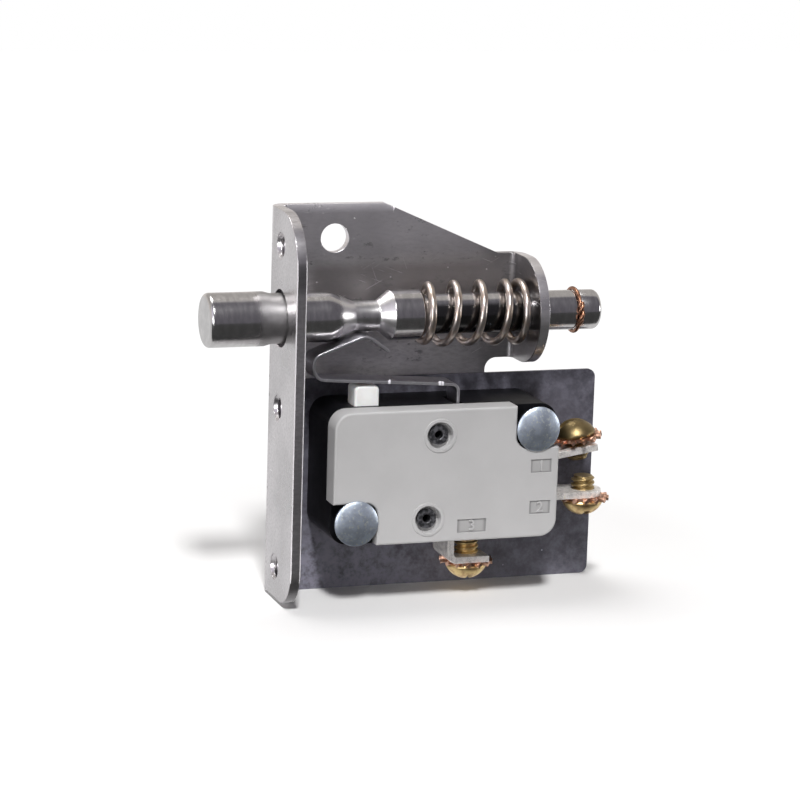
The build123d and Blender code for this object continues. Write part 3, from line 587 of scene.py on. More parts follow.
def nylon(base):
    """White nylon of the button, a little see-through at its edges."""
    paint = Finish("nylon", base, subsurface=0.1, subsurface_scale=0.8 * MM)
    cloud = paint.noise(1.5, detail=3.0)
    paint.colour(paint.mix(cloud.above(0.35, 0.7), 0.96, 1.03))
    paint.roughness(0.3 + cloud * 0.1)
    paint.bump(paint.noise(0.35), 0.006)
    return paint.material


def tinned_strip(base):
    """Tinned brass strip: dull and bright patches, fine relief with painted glints, and brass at
    worn spots.
    """
    paint = Finish("tinned_strip", base, metallic=0.45, specular=0.6)
    patch = paint.noise(0.8, detail=5.0, rough=0.65)
    relief_and_glint = paint.noise(0.16, detail=3.0, rough=0.7)
    tone = paint.mix(patch.above(0.35, 0.65), 0.72, 1.12)
    # painted glints: fine specks are lightened
    tone = paint.mix(relief_and_glint.above(0.5, 0.62) * 0.5, tone, 1.3)
    paint.colour(paint.mix(patch.above(0.6, 0.72) * 0.4, tone, (0.98, 0.84, 0.55)))
    paint.roughness(0.26 + patch * 0.2)
    paint.bump(patch + relief_and_glint * 1.6, 0.02)
    return paint.material


def screw_brass(base):
    """Dull yellow brass, with painted shade on the upper screw, and darker on the stub below it.
    """
    paint = Finish("screw_brass", base, metallic=1.0)
    patch = paint.noise(0.7, detail=4.0)
    z = paint.millimetres()[2]
    middle = centre("no_screw").z / MM
    stub_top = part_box("no_screw")[1].z / MM
    stub = z.between(stub_top - 1.8, stub_top - 1.6, stub_top + 0.1, stub_top + 0.2)
    tone = paint.mix(patch.above(0.4, 0.7), 1.02, (0.68, 0.58, 0.62))
    # painted shade: the upper screw is darkened
    tone = paint.mix(z.above(middle + 3.0, middle + 4.0) * 0.88, tone, 0.22)
    # The thread stub below the upper screw is darker
    tone = paint.mix(stub * 0.8, tone, 0.42)
    paint.colour(paint.mix(paint.specks(0.5, 0.1) * 0.4, tone, 1.2))
    paint.roughness(0.3 + patch * 0.2)
    paint.bump(paint.noise(0.12, detail=2.0) + patch * 0.5, 0.008)
    return paint.material


def copper_metal(name, base, dark):
    """Bare copper with darker spots."""
    paint = Finish(name, base, metallic=1.0)
    patch = paint.noise(0.5, detail=4.0)
    paint.colour(paint.mix(patch.above(0.4, 0.7), 1.0, dark))
    paint.roughness(0.24 + patch * 0.2)
    paint.bump(patch, 0.008)
    return paint.material


def contact_silver(base):
    """Silver contacts, slightly tarnished."""
    paint = Finish("contact_silver", base, metallic=1.0)
    tarnish = paint.noise(0.6, detail=4.0)
    paint.colour(paint.mix(tarnish.above(0.45, 0.75), 1.0, 0.7))
    paint.roughness(0.22 + tarnish * 0.15)
    paint.bump(paint.noise(0.1), 0.003)
    return paint.material


def paint_node(node, material):
    """Give a node of the frame its finish."""
    for held in frame["nodes"][node].material_slots:
        held.material = material


def fresh_object(name, data, material=None):
    """A new object of the scene, with one finish if a material is given."""
    made = bpy.data.objects.new(name, data)
    bpy.context.scene.collection.objects.link(made)
    if material is not None:
        data.materials.clear()
        data.materials.append(material)
    return made


def mesh_from(work, name):
    """The mesh of a finished bmesh."""
    mesh = bpy.data.meshes.new(name)
    work.to_mesh(mesh)
    work.free()
    return mesh


def baked(source, name, place=None):
    """The evaluated object as a plain mesh at its place; the source is removed."""
    graph = bpy.context.evaluated_depsgraph_get()
    mesh = bpy.data.meshes.new_from_object(source.evaluated_get(graph))
    bpy.data.objects.remove(source)
    if place is not None:
        mesh.transform(place)
    mesh.name = name
    return fresh_object(name, mesh)


def seated(piece, body, slot, *nodes):
    """The piece stands for its nodes, which are hidden, and rides on a body; the slot is not
    used.
    """
    if nodes:
        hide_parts(*nodes)
    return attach(piece, body)


def round_edges(piece, width, segments=2, turn=32.0):
    """A bevel of a width in millimetres on edges that turn by more than some degrees."""
    edge = piece.modifiers.new("edge", "BEVEL")
    edge.width = width * MM
    edge.segments = segments
    edge.limit_method = "ANGLE"
    edge.angle_limit = math.radians(turn)
    return edge


def weigh_normals(piece):
    """Shading that follows the large faces."""
    flat = piece.modifiers.new("flat", "WEIGHTED_NORMAL")
    flat.mode = "FACE_AREA"
    flat.weight = NORMAL_WEIGHT
    return flat


def softened(node, name, material, width, segments):
    """A node's copy, its flat faces made whole and its sharp edges rounded."""
    mesh = frame["nodes"][node].data.copy()
    work = bmesh.new()
    work.from_mesh(mesh)
    bmesh.ops.remove_doubles(work, verts=work.verts, dist=MERGE_GAP)
    bmesh.ops.dissolve_limit(work, angle_limit=FLAT_TURN, verts=work.verts, edges=work.edges)
    work.to_mesh(mesh)
    work.free()
    for held in ("custom_normal", "sharp_edge", "sharp_face"):
        layer = mesh.attributes.get(held)
        if layer is not None:
            mesh.attributes.remove(layer)
    mesh.shade_smooth()
    piece = fresh_object(name + "_raw", mesh, material)
    round_edges(piece, width, segments)
    weigh_normals(piece)
    return baked(piece, name)


def dressed(node, name, material, width, slot, body=BRACKET_BODY, segments=2):
    """A node's softened copy that stands for it, on its body; the slot is not used."""
    return seated(softened(node, name, material, width, segments), body, slot, node)


class Shape(Maker):
    """A geometry tree with named inputs that makes one kind of piece."""

    def __init__(self, name, inputs):
        super().__init__(bpy.data.node_groups.new(name, "GeometryNodeTree"))
        self.keys = {}
        for label, value in inputs.items():
            kind = "Int" if isinstance(value, int) else "Float"
            self.socket(label, "INPUT", kind).default_value = value
        self.socket("Finish", "INPUT", "Material")
        self.socket("Shape", "OUTPUT", "Geometry")
        self.held = self.node("NodeGroupInput").outputs

    def socket(self, label, side, kind):
        made = self.tree.interface.new_socket(
            label, in_out=side, socket_type="NodeSocket" + kind
        )
        self.keys[label] = made.identifier
        return made

    def input(self, label):
        return Number(self, self.held[label])

    def move(self, geometry, **sockets):
        return self.node("GeometryNodeSetPosition", {"Geometry": geometry, **sockets})

    def sweep(self, path, section, caps=False):
        """A section swept along a path."""
        sockets = {"Curve": path, "Profile Curve": section, "Fill Caps": caps}
        return self.node("GeometryNodeCurveToMesh", sockets)

    def close(self, geometry, smooth=True):
        """End the tree: shaded, realized and with its finish set."""
        sockets = {"Geometry": geometry, "Shade Smooth": smooth}
        shaded = self.node("GeometryNodeSetShadeSmooth", sockets)
        real = self.node("GeometryNodeRealizeInstances", {0: shaded})
        sockets = {"Geometry": real, "Material": self.held["Finish"]}
        self.node("NodeGroupOutput", {0: self.node("GeometryNodeSetMaterial", sockets)})
        return self

    def grow(self, name, values, material, place=None):
        """A plain mesh object made by the tree from these input values."""
        seed = fresh_object(name + "_seed", bpy.data.meshes.new(name + "_seed"))
        modifier = seed.modifiers.new("shape", "NODES")
        modifier.node_group = self.tree
        for label, value in values.items():
            modifier[self.keys[label]] = value
        modifier[self.keys["Finish"]] = material
        return baked(seed, name, place)


def coil_shape():
    """A wire coil about X: a drawn in seat, open turns, and closed turns at its end."""
    inputs = {
        "Start": 0.0,
        "End": 0.01,
        "Seat Rise": 0.0004,
        "Seat Radius": 0.003,
        "Coil Radius": 0.0035,
        "Wire": 0.0008,
        "Seat Turns": 0.5,
        "Open Turns": 3.5,
        "Closed Turns": 1.0,
        "Height": 0.0,
    }
    shape = Shape("coil", inputs)
    start, end, rise, seat, coil, wire, seat_turns, open_turns, closed_turns, height = (
        shape.input(label) for label in inputs
    )
    line = shape.node("GeometryNodeCurvePrimitiveLine")
    dots = shape.node("GeometryNodeResampleCurve", {"Curve": line, "Count": 420})
    along = Number(shape, shape.node("GeometryNodeSplineParameter").outputs["Factor"])
    turn = along * (seat_turns + open_turns + closed_turns)
    radius = seat + (coil - seat) * turn.math("MINIMUM", 1.0)
    reach = end - wire * closed_turns - start - rise
    seated_share = (turn / seat_turns).math("MINIMUM", 1.0)
    open_share = ((turn - seat_turns) / open_turns).math("MAXIMUM", 0.0).math("MINIMUM", 1.0)
    closing = (turn - seat_turns - open_turns).math("MAXIMUM", 0.0)
    x = start + rise * seated_share + reach * open_share + wire * closing
    angle = turn * -math.tau + COIL_START
    y = radius * angle.math("COSINE")
    z = radius * angle.math("SINE") + height
    section = shape.node(
        "GeometryNodeCurvePrimitiveCircle", {"Resolution": 24, "Radius": wire * 0.5}
    )
    path = shape.move(dots, Position=shape.combine(x, y, z))
    return shape.close(shape.sweep(path, section, caps=True))


def lockwasher_shape():
    """A ring with teeth round its outer edge, each twisted about its own length."""
    inputs = {
        "Bore": 0.0015,
        "Rim": 0.0024,
        "Outer": 0.0032,
        "Thickness": 0.0005,
        "Tooth Width": 0.0006,
        "Teeth": 14,
        "Twist": 0.5,
    }
    shape = Shape("lockwasher", inputs)
    bore, rim, outer, thick, width, count, twist = (shape.input(label) for label in inputs)
    path = shape.node(
        "GeometryNodeCurvePrimitiveCircle", {"Resolution": 56, "Radius": (bore + rim) * 0.5}
    )
    section = shape.node(
        "GeometryNodeCurvePrimitiveQuadrilateral", {"Width": rim - bore, "Height": thick * 0.8}
    )
    ring = shape.sweep(path, section)
    length = outer - rim + thick * 0.4
    size = shape.combine(length, width, thick * 0.8)
    cube = shape.node(
        "GeometryNodeMeshCube",
        {"Size": size, "Vertices X": 4, "Vertices Y": 2, "Vertices Z": 2},
    )
    x, y, z = shape.split(shape.node("GeometryNodeInputPosition"))
    share = x / length + 0.5
    bend = share * twist
    slope, level = bend.math("SINE"), bend.math("COSINE")
    narrowed = (y * level - z * slope) * (1.0 - share * 0.25)
    tooth = shape.move(cube, Position=shape.combine(x, narrowed, y * slope + z * level))
    spots = shape.node(
        "GeometryNodeMeshCircle", {"Vertices": count, "Radius": outer - length * 0.5}
    )
    index = Number(shape, shape.node("GeometryNodeInputIndex"))
    turn = shape.combine(0.0, 0.0, index * math.tau / count)
    teeth = shape.node(
        "GeometryNodeInstanceOnPoints", {"Points": spots, "Instance": tooth, "Rotation": turn}
    )
    both = shape.node("GeometryNodeJoinGeometry")
    for part in (ring, teeth):
        shape.plug(both.inputs[0], part)
    lifted = shape.move(both, Offset=shape.combine(0.0, 0.0, thick * 0.5))
    return shape.close(lifted, smooth=False)


def thread_shape():
    """A threaded shank below its top: a cylinder whose wall follows the thread."""
    inputs = {"Diameter": 0.0028, "Length": 0.003, "Pitch": 0.0006, "Depth": 0.0003}
    shape = Shape("thread", inputs)
    diameter, length, pitch, depth = (shape.input(label) for label in inputs)
    half = diameter * 0.5
    drum = shape.node(
        "GeometryNodeMeshCylinder",
        {
            "Vertices": 40,
            "Side Segments": 56,
            "Fill Segments": 1,
            "Radius": half,
            "Depth": length,
        },
    )
    x, y, z = shape.split(shape.node("GeometryNodeInputPosition"))
    turn = y.math("ARCTAN2", x) / math.tau
    flank = ((z / pitch - turn).math("PINGPONG", 0.5) * 2.0).above(0.12, 0.85)
    run_in = ((0.5 - (z / length).math("ABSOLUTE")) * length / pitch).above(0.0, 0.5)
    scale = 1.0 - depth / half * (1.0 - flank * run_in)
    place = shape.combine(x * scale, y * scale, z - length * 0.5)
    return shape.close(shape.move(drum, Position=place))


def lathed(name, section, material, steps=64):
    """A closed solid turned about Z from points (radius, height), crown to foot."""
    work = bmesh.new()
    rings = []
    for radius, height in section:
        if radius == 0.0:
            rings.append([work.verts.new((0.0, 0.0, height))])
            continue
        turns = (math.tau * step / steps for step in range(steps))
        rings.append(
            [
                work.verts.new((radius * math.cos(turn), radius * math.sin(turn), height))
                for turn in turns
            ]
        )
    for upper, lower in zip(rings, rings[1:]):
        for step in range(steps):
            after = (step + 1) % steps
            corners = (
                upper[step % len(upper)],
                lower[step % len(lower)],
                lower[after % len(lower)],
                upper[after % len(upper)],
            )
            work.faces.new(list(dict.fromkeys(corners)))
    mesh = mesh_from(work, name)
    mesh.shade_smooth()
    return fresh_object(name, mesh, material)


def arc_points(middle, radius, start, end, steps):
    """Points (radius, height) of an arc, by angles in degrees."""
    points = []
    for step in range(steps + 1):
        angle = math.radians(start + (end - start) * step / steps)
        points.append(
            (middle[0] + radius * math.cos(angle), middle[1] + radius * math.sin(angle))
        )
    return points


def frame_at(point, axis):
    """A place whose Z looks along an axis."""
    turn = Vector(axis).to_track_quat("Z", "Y").to_matrix().to_4x4()
    return Matrix.Translation(point) @ turn


def round_setting(name, description, default):
    """A setting in plain millimetres."""
    return bpy.props.FloatProperty(name=name, description=description, default=default, min=0.0)


def length_setting(name, description, default):
    """A setting that Blender shows with its unit, from a default in millimetres."""
    return bpy.props.FloatProperty(
        name=name, description=description, default=default * MM, unit="LENGTH", precision=5
    )


def colour_setting(name, description, default):
    return bpy.props.FloatVectorProperty(
        name=name, description=description, default=default, subtype="COLOR", min=0.0, max=1.0
    )


class InterlockSizes(bpy.types.PropertyGroup):
    edge: round_setting("Sheet edge", "Round on the bracket's edges, mm", 0.07)
    cover_edge: round_setting("Cover edge", "Round on the cover's edges, mm", 0.2)
    spring_turns: bpy.props.FloatProperty(
        name="Spring turns", description="Open turns of the plunger spring", default=3.5, min=1.0
    )
    wire: length_setting("Spring wire", "Thickness of the spring wire", 0.9)
    pitch: length_setting("Screw pitch", "Pitch of the terminal screws", 0.635)
    panel_pitch: length_setting("Panel thread pitch", "Pitch of the threads in the flange", 0.79)
    teeth: bpy.props.IntProperty(
        name="Washer teeth", description="Teeth of each lock washer", default=14, min=4
    )
    ring_wire: length_setting("Ring wire", "Thickness of the retaining ring's wire", 0.46)


class InterlockColours(bpy.types.PropertyGroup):
    nickel: colour_setting("Nickel", "Bracket sheet", (0.74, 0.715, 0.73))
    steel: colour_setting("Steel", "Turned plunger", (0.67, 0.655, 0.655))
    wire: colour_setting("Wire", "Plunger spring", (0.66, 0.60, 0.56))
    leaf: colour_setting("Leaf", "Cam leaf strip", (0.54, 0.53, 0.56))
    zinc: colour_setting("Zinc", "Mounting rivets", (0.74, 0.83, 0.96))
    eyelet: colour_setting("Eyelet", "Case eyelets", (0.16, 0.16, 0.17))
    cover: colour_setting("Cover", "Switch cover", (0.505, 0.498, 0.497))
    base: colour_setting("Base", "Switch base", (0.002, 0.002, 0.003))
    fibre: colour_setting("Fibre", "Insulating sheet", (0.098, 0.095, 0.118))
    nylon: colour_setting("Nylon", "Button", (0.92, 0.915, 0.90))
    tin: colour_setting("Tin", "Terminals", (0.92, 0.885, 0.85))
    brass: colour_setting("Brass", "Terminal screws", (0.92, 0.70, 0.34))
    copper: colour_setting("Copper", "Lock washers", (0.95, 0.58, 0.42))
    ring: colour_setting("Ring", "Retaining ring", (0.42, 0.21, 0.13))
    blade: colour_setting("Blade", "Moving blade and its spring", (0.62, 0.38, 0.22))
    silver: colour_setting("Silver", "Contacts", (0.78, 0.77, 0.75))
    floor: colour_setting("Floor", "Floor of the stage", (0.90, 0.895, 0.89))


def sizes():
    return bpy.context.scene.interlock_sizes


def colours():
    return bpy.context.scene.interlock_colours


class INTERLOCK_OT_stage(bpy.types.Operator):
    """Set the camera, the lamps, the pale world and the floor"""

    bl_idname = "interlock.stage"
    bl_label = "Stage"

    def execute(self, context):
        place_camera()
        make_world()
        make_lamps()
        make_floor()
        return {"FINISHED"}


def place_camera():
    data = bpy.data.cameras.new("camera")
    data.sensor_width = SENSOR_WIDTH
    data.lens = SENSOR_WIDTH * FOCAL_PIXELS / PICTURE_WIDTH
    data.clip_start = 0.01
    data.clip_end = 10.0
    level = Vector((math.cos(CAMERA_YAW), -math.sin(CAMERA_YAW), 0.0))
    ahead = Vector(
        (
            math.sin(CAMERA_YAW) * math.cos(CAMERA_PITCH),
            math.cos(CAMERA_YAW) * math.cos(CAMERA_PITCH),
            -math.sin(CAMERA_PITCH),
        )
    )
    upright = level.cross(ahead)
    right = level * math.cos(CAMERA_ROLL) + upright * math.sin(CAMERA_ROLL)
    above = upright * math.cos(CAMERA_ROLL) - level * math.sin(CAMERA_ROLL)
    turn = Matrix((right, above, -ahead)).transposed().to_4x4()
    camera = fresh_object("camera", data)
    camera.matrix_world = Matrix.Translation(CAMERA_PLACE) @ turn
    bpy.context.scene.camera = camera


def make_world():
    """A studio with a white wall behind the object and a dim room before it."""
    world = bpy.data.worlds.new("studio")
    world.use_nodes = True
    maker = Maker(world.node_tree)
    maker.tree.nodes.clear()
    x, y, z = maker.split(maker.node("ShaderNodeTexCoord").outputs["Generated"])
    behind = y.above(*BACK_TURN)
    front = (x * -1.0).above(*LEFT_TURN) * (LEFT_GREY - FRONT_GREY) + FRONT_GREY
    back = BACK_WHITE - z.above(*CEILING_TURN) * (BACK_WHITE - CEILING_GREY)
    path = maker.node("ShaderNodeLightPath").outputs
    seen = Number(maker, path["Is Camera Ray"])
    mirrored = Number(maker, path["Is Glossy Ray"])
    room = front + behind * (back - front)
    room = room * (DIFFUSE_SHARE + mirrored * (1.0 - DIFFUSE_SHARE))
    level = room + (1.0 - room) * seen
    unseen = 1.0 - seen
    green = level * (1.0 - unseen * GREEN_LOSS)
    blue = level * (1.0 + unseen * (BLUE_GAIN - behind * (2 * BLUE_GAIN)))
    tint = maker.combine(level, green, blue)
    shade = maker.node("ShaderNodeBackground", {"Color": tint, "Strength": 1.0})
    maker.node("ShaderNodeOutputWorld", {0: shade})
    bpy.context.scene.world = world


def make_lamps():
    """Soft boxes round the object's middle, each facing it."""
    middle = (CAD_BOX[0] + CAD_BOX[1]) / 2
    for name, toward, width, height, power in LAMPS:
        data = bpy.data.lights.new(name, "AREA")
        data.shape = "RECTANGLE"
        data.size = width
        data.size_y = height
        data.energy = power
        direction = Vector(toward).normalized()
        made = fresh_object(name, data)
        made.matrix_world = frame_at(middle + direction * LAMP_REACH, direction)


def make_floor():
    """A pale floor that keeps the object's shadow and looks dark to metal before it."""
    paint = Finish("floor", colours().floor, specular=0.0)
    paint.roughness(0.9)
    path = paint.node("ShaderNodeLightPath").outputs
    seen = Number(paint, path["Is Camera Ray"])
    mirrored = Number(paint, path["Is Glossy Ray"])
    x, y, _ = paint.millimetres()
    behind = y.above(*FLOOR_BACK_Y)
    along, deep = (x - FLOOR_MIDDLE[0]) ** 2.0, (y - FLOOR_MIDDLE[1]) ** 2.0
    away = (along + deep).math("SQRT").above(*FLOOR_FADE)
    dark = (mirrored + away).math("MINIMUM", 1.0)
    paint.colour(paint.mix(dark, 1.0, FLOOR_DARK))
    glow = seen * away + mirrored * behind * FLOOR_MIRRORED
    paint.shader.inputs["Emission Strength"].default_value = 1.0
    paint.plug(paint.shader.inputs["Emission Color"], paint.combine(glow, glow, glow))
    work = bmesh.new()
    work.faces.new([work.verts.new((*corner, CAD_BOX[0].z)) for corner in FLOOR_CORNERS])
    fresh_object("floor", mesh_from(work, "floor"), paint.material)


class INTERLOCK_OT_bracket(bpy.types.Operator):
    """Round the bracket's edges and cut the threads in its flange"""

    bl_idname = "interlock.bracket"
    bl_label = "Bracket"

    def execute(self, context):
        finish = nickel_sheet(colours().nickel)
        dressed("bracket", "bracket_sheet", finish, sizes().edge, "nickel_steel")
        for number, height in enumerate(PANEL_HOLES_Z, start=1):
            thread = flange_thread(f"flange_thread_{number}", height * MM, finish)
            seated(thread, BRACKET_BODY, "nickel_steel")
        return {"FINISHED"}


def flange_thread(name, height, material):
    """The thread in one tapped hole of the flange: a sleeve whose bore is threaded."""
    hole_r = PANEL_HOLE_R * MM
    wall = 0.01 * MM
    depth = 0.3 * MM
    inset = 0.06 * MM
    length = SHEET_T * MM - 2 * inset
    pitch = sizes().panel_pitch
    around, along = 48, 24
    work = bmesh.new()
    rings = []
    for step in range(around):
        angle = math.tau * step / around
        outline = []
        for stop in range(along + 1):
            share = stop / along
            phase = (share * length / pitch - step / around) % 1.0
            ridge = 1.0 - abs(2.0 * phase - 1.0)
            outline.append((hole_r - wall - depth * (0.15 + 0.85 * ridge), share))
        outline += [(hole_r + wall, 1.0), (hole_r + wall, 0.0)]
        ring = []
        for radius, share in outline:
            y, z = radius * math.cos(angle), height + radius * math.sin(angle)
            ring.append(work.verts.new((inset + share * length, y, z)))
        rings.append(ring)
    rings.append(rings[0])
    bridge_rings(work, [[*ring, ring[0]] for ring in rings])
    return sharp_mesh_object(work, name, material)


def bridge_rings(work, rings):
    """Faces between each ring of corners and the next."""
    for here, there in zip(rings, rings[1:]):
        for stop in range(len(here) - 1):
            work.faces.new((here[stop], there[stop], there[stop + 1], here[stop + 1]))


def sharp_mesh_object(work, name, material):
    """An object of a finished bmesh, smooth but for its sharp turns."""
    bmesh.ops.recalc_face_normals(work, faces=work.faces)
    mesh = mesh_from(work, name)
    mesh.shade_smooth()
    mesh.set_sharp_from_angle(angle=math.radians(50))
    return fresh_object(name, mesh, material)


class INTERLOCK_OT_insulator(bpy.types.Operator):
    """Give the insulating sheet its fibre and its cut edge"""

    bl_idname = "interlock.insulator"
    bl_label = "Insulating sheet"

    def execute(self, context):
        finish = fibre_sheet(colours().fibre)
        dressed("insulator_sheet", "fibre_sheet", finish, 0.06, "dark_insulator")
        return {"FINISHED"}


class INTERLOCK_OT_plunger(bpy.types.Operator):
    """Finish the turned plunger, wind its spring and twist its ring"""

    bl_idname = "interlock.plunger"
    bl_label = "Plunger, spring and ring"

    def execute(self, context):
        seated(turned_rod(), ROD_BODY, "turned_steel", "plunger")
        wind_spring()
        twist_ring()
        return {"FINISHED"}


def eased(start, end, start_slope, end_slope, steps):
    """Points of a cubic curve between two (x, radius) points with given slopes."""
    width = end[0] - start[0]
    points = []
    for step in range(1, steps + 1):
        t = step / steps
        radius = (
            (2 * t**3 - 3 * t**2 + 1) * start[1]
            + (t**3 - 2 * t**2 + t) * width * start_slope
            + (3 * t**2 - 2 * t**3) * end[1]
            + (t**3 - t**2) * width * end_slope
        )
        points.append((start[0] + width * t, radius))
    return points


def turned_rod():
    """The plunger turned from (x, radius) stations in millimetres."""
    low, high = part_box("plunger")
    left, right = low.x / MM, high.x / MM
    head_r = (high.z - low.z) / 2 / MM
    ramp, middle, waist = (RAMP_X, BODY_R), (RAMP_MID_X, RAMP_MID_R), (WAIST_X, WAIST_R)
    turns = [math.pi / 2 * step / 8 for step in range(9)]
    edge, end = HEAD_EDGE_R, ROD_EDGE_R
    nose = [
        (left + edge - edge * math.cos(turn), head_r - edge + edge * math.sin(turn))
        for turn in turns
    ]
    tail = [
        (right - end + end * math.sin(turn), ROD_R - end + end * math.cos(turn))
        for turn in turns
    ]
    stations = [
        (left, 0.0),
        (left, head_r * 0.4),
        *nose,
        (HEAD_TAPER_X, head_r),
        (BODY_X, BODY_R),
        ramp,
        *eased(ramp, middle, 0.0, RAMP_SLOPE, 10),
        *eased(middle, waist, RAMP_SLOPE, WAIST_SLOPE, 8),
        (WAIST_END_X, WAIST_R),
        (CONE_END_X, BODY_R),
        (SHOULDER_X, BODY_R),
        (ROD_X, ROD_R),
        (GROOVE_X, ROD_R),
        (GROOVE_X, GROOVE_R),
        (GROOVE_END_X, GROOVE_R),
        (GROOVE_END_X, ROD_R),
        *tail,
        (right, ROD_R * 0.4),
        (right, 0.0),
    ]
    section = [(radius * MM, x * MM) for x, radius in reversed(stations)]
    rod = lathed("turned_raw", section, turned_steel(colours().steel), 96)
    round_edges(rod, 0.05, turn=16.0)
    weigh_normals(rod)
    place = Matrix.Translation((0.0, 0.0, AXIS_Z)) @ Matrix.Rotation(math.pi / 2, 4, "Y")
    return baked(rod, "turned_plunger", place)


def wind_spring():
    low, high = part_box("plunger_spring")
    wire = sizes().wire
    coil_r = (high.z - low.z) / 2 - wire / 2
    values = {
        "Start": low.x + wire / 2,
        "End": high.x - wire / 2,
        "Seat Rise": SEAT_RISE,
        "Seat Radius": coil_r - SEAT_DRAW_IN,
        "Coil Radius": coil_r,
        "Wire": wire,
        "Seat Turns": SEAT_TURNS,
        "Open Turns": sizes().spring_turns,
        "Closed Turns": CLOSED_TURNS,
        "Height": AXIS_Z,
    }
    spring = coil_shape().grow("wound_spring", values, drawn_wire(colours().wire))
    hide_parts("plunger_spring")
    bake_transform(spring)


def twist_ring():
    """An open ring of copper wire whose ends lie twisted together at the front."""
    wire = sizes().ring_wire
    middle = centre("retaining_ring")
    low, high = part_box("retaining_ring")
    ring_r = (high.z - low.z) / 2 - wire / 2
    front = math.radians(183)
    lap = math.radians(30)
    lay = wire * 0.52
    twists = 1.25
    whole = math.tau + 2 * lap
    steps = 220
    points = []
    for step in range(steps + 1):
        share = step / steps
        angle = front - lap + whole * share
        head = max(0.0, 1.0 - share * whole / (2 * lap))
        tail = max(0.0, 1.0 - (1.0 - share) * whole / (2 * lap))
        blend = min(1.0, max(head, tail) * 4.0)
        side = 0.0 if head > 0 else math.pi
        place = angle - front + lap if head > 0 else angle - front - math.tau + lap
        turn = side + twists * math.tau * place / (2 * lap)
        across = lay * blend * (0.7 * math.cos(turn) + 0.3)
        radius = ring_r + lay * blend * (math.sin(turn) + 0.35)
        y, z = radius * math.cos(angle), AXIS_Z + radius * math.sin(angle)
        points.append((middle.x + across, y, z))
    curve = bpy.data.curves.new("ring_wire", "CURVE")
    curve.dimensions = "3D"
    curve.bevel_depth = wire / 2
    curve.bevel_resolution = 5
    curve.use_fill_caps = True
    spline = curve.splines.new("POLY")
    spline.points.add(len(points) - 1)
    for point, place in zip(spline.points, points):
        point.co = (*place, 1.0)
    copper = copper_metal("ring_copper", colours().ring, 0.5)
    ring = baked(fresh_object("ring_wire", curve, copper), "twisted_ring")
    ring.data.shade_smooth()
    seated(ring, ROD_BODY, "copper", "retaining_ring")


class INTERLOCK_OT_leaf(bpy.types.Operator):
    """Bend the cam leaf from its strip, with the burrs of its cut edge"""

    bl_idname = "interlock.leaf"
    bl_label = "Cam leaf"

    def execute(self, context):
        leaf = bent_leaf()
        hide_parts("cam_leaf")
        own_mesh(leaf)
        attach(leaf, LEAF_BODY)
        return {"FINISHED"}


def bent_leaf():
    """A strip with rounded edges, swept along the leaf's bent centre line."""
    low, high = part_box("cam_leaf")
    half, soft = 0.18 * MM, 0.05 * MM
    section = (
        (half - soft, low.y),
        (-half + soft, low.y),
        (-half, low.y + soft),
        (-half, high.y - soft),
        (-half + soft, high.y),
        (half - soft, high.y),
        (half, high.y - soft),
        (half, low.y + 0.5 * MM),
        (half, low.y + soft),
    )
    path = rounded_path(LEAF_LINE, LEAF_STEP)
    work = bmesh.new()
    rings = []
    for index, (x, z) in enumerate(path):
        before = path[max(index - 1, 0)]
        after = path[min(index + 1, len(path) - 1)]
        ahead = Vector((after[0] - before[0], after[1] - before[1])).normalized()
        side = Vector((-ahead.y, ahead.x))
        raised = 0.0
        if z < BURRS_BELOW_Z:
            for place, height in LEAF_BURRS:
                raised += height * MM * math.exp(-(((x - place) / BURR_WIDTH) ** 2))
        ring = []
        for offset, y in section:
            lifted = y < low.y + 0.3 * MM and offset < 0
            out = offset - (raised if lifted else 0.0)
            ring.append(work.verts.new((x * MM + side.x * out, y, z * MM + side.y * out)))
        rings.append(ring)
    bridge_rings(work, [[*ring, ring[0]] for ring in rings])
    work.faces.new(rings[0])
    work.faces.new(reversed(rings[-1]))
    raw = sharp_mesh_object(work, "leaf_raw", leaf_strip(colours().leaf))
    weigh_normals(raw).keep_sharp = True
    return baked(raw, "leaf_strip")


def rounded_path(corners, step):
    """Points in (x, z) along a line through (x, z, radius) corners, each rounded."""
    points = [Vector(corners[0][:2])]
    for before, corner, after in zip(corners, corners[1:], corners[2:]):
        here = Vector(corner[:2])
        back = (Vector(before[:2]) - here).normalized()
        ahead = (Vector(after[:2]) - here).normalized()
        radius = corner[2]
        opening = back.angle(ahead)
        reach = radius / math.tan(opening / 2)
        middle = here + (back + ahead).normalized() * (radius / math.sin(opening / 2))
        start = here + back * reach - middle
        end = here + ahead * reach - middle
        sweep = start.angle_signed(end)
        count = max(3, math.ceil(abs(sweep) * radius / step))
        for stop in range(count + 1):
            points.append(middle + Matrix.Rotation(-sweep * stop / count, 2) @ start)
    points.append(Vector(corners[-1][:2]))
    spread = [points[0]]
    for point in points[1:]:
        gap = (point - spread[-1]).length
        if gap < 0.02:
            continue
        pieces = max(1, math.ceil(gap / step))
        first = spread[-1].copy()
        for piece in range(1, pieces + 1):
            spread.append(first.lerp(point, piece / pieces))
    return [tuple(point) for point in spread]


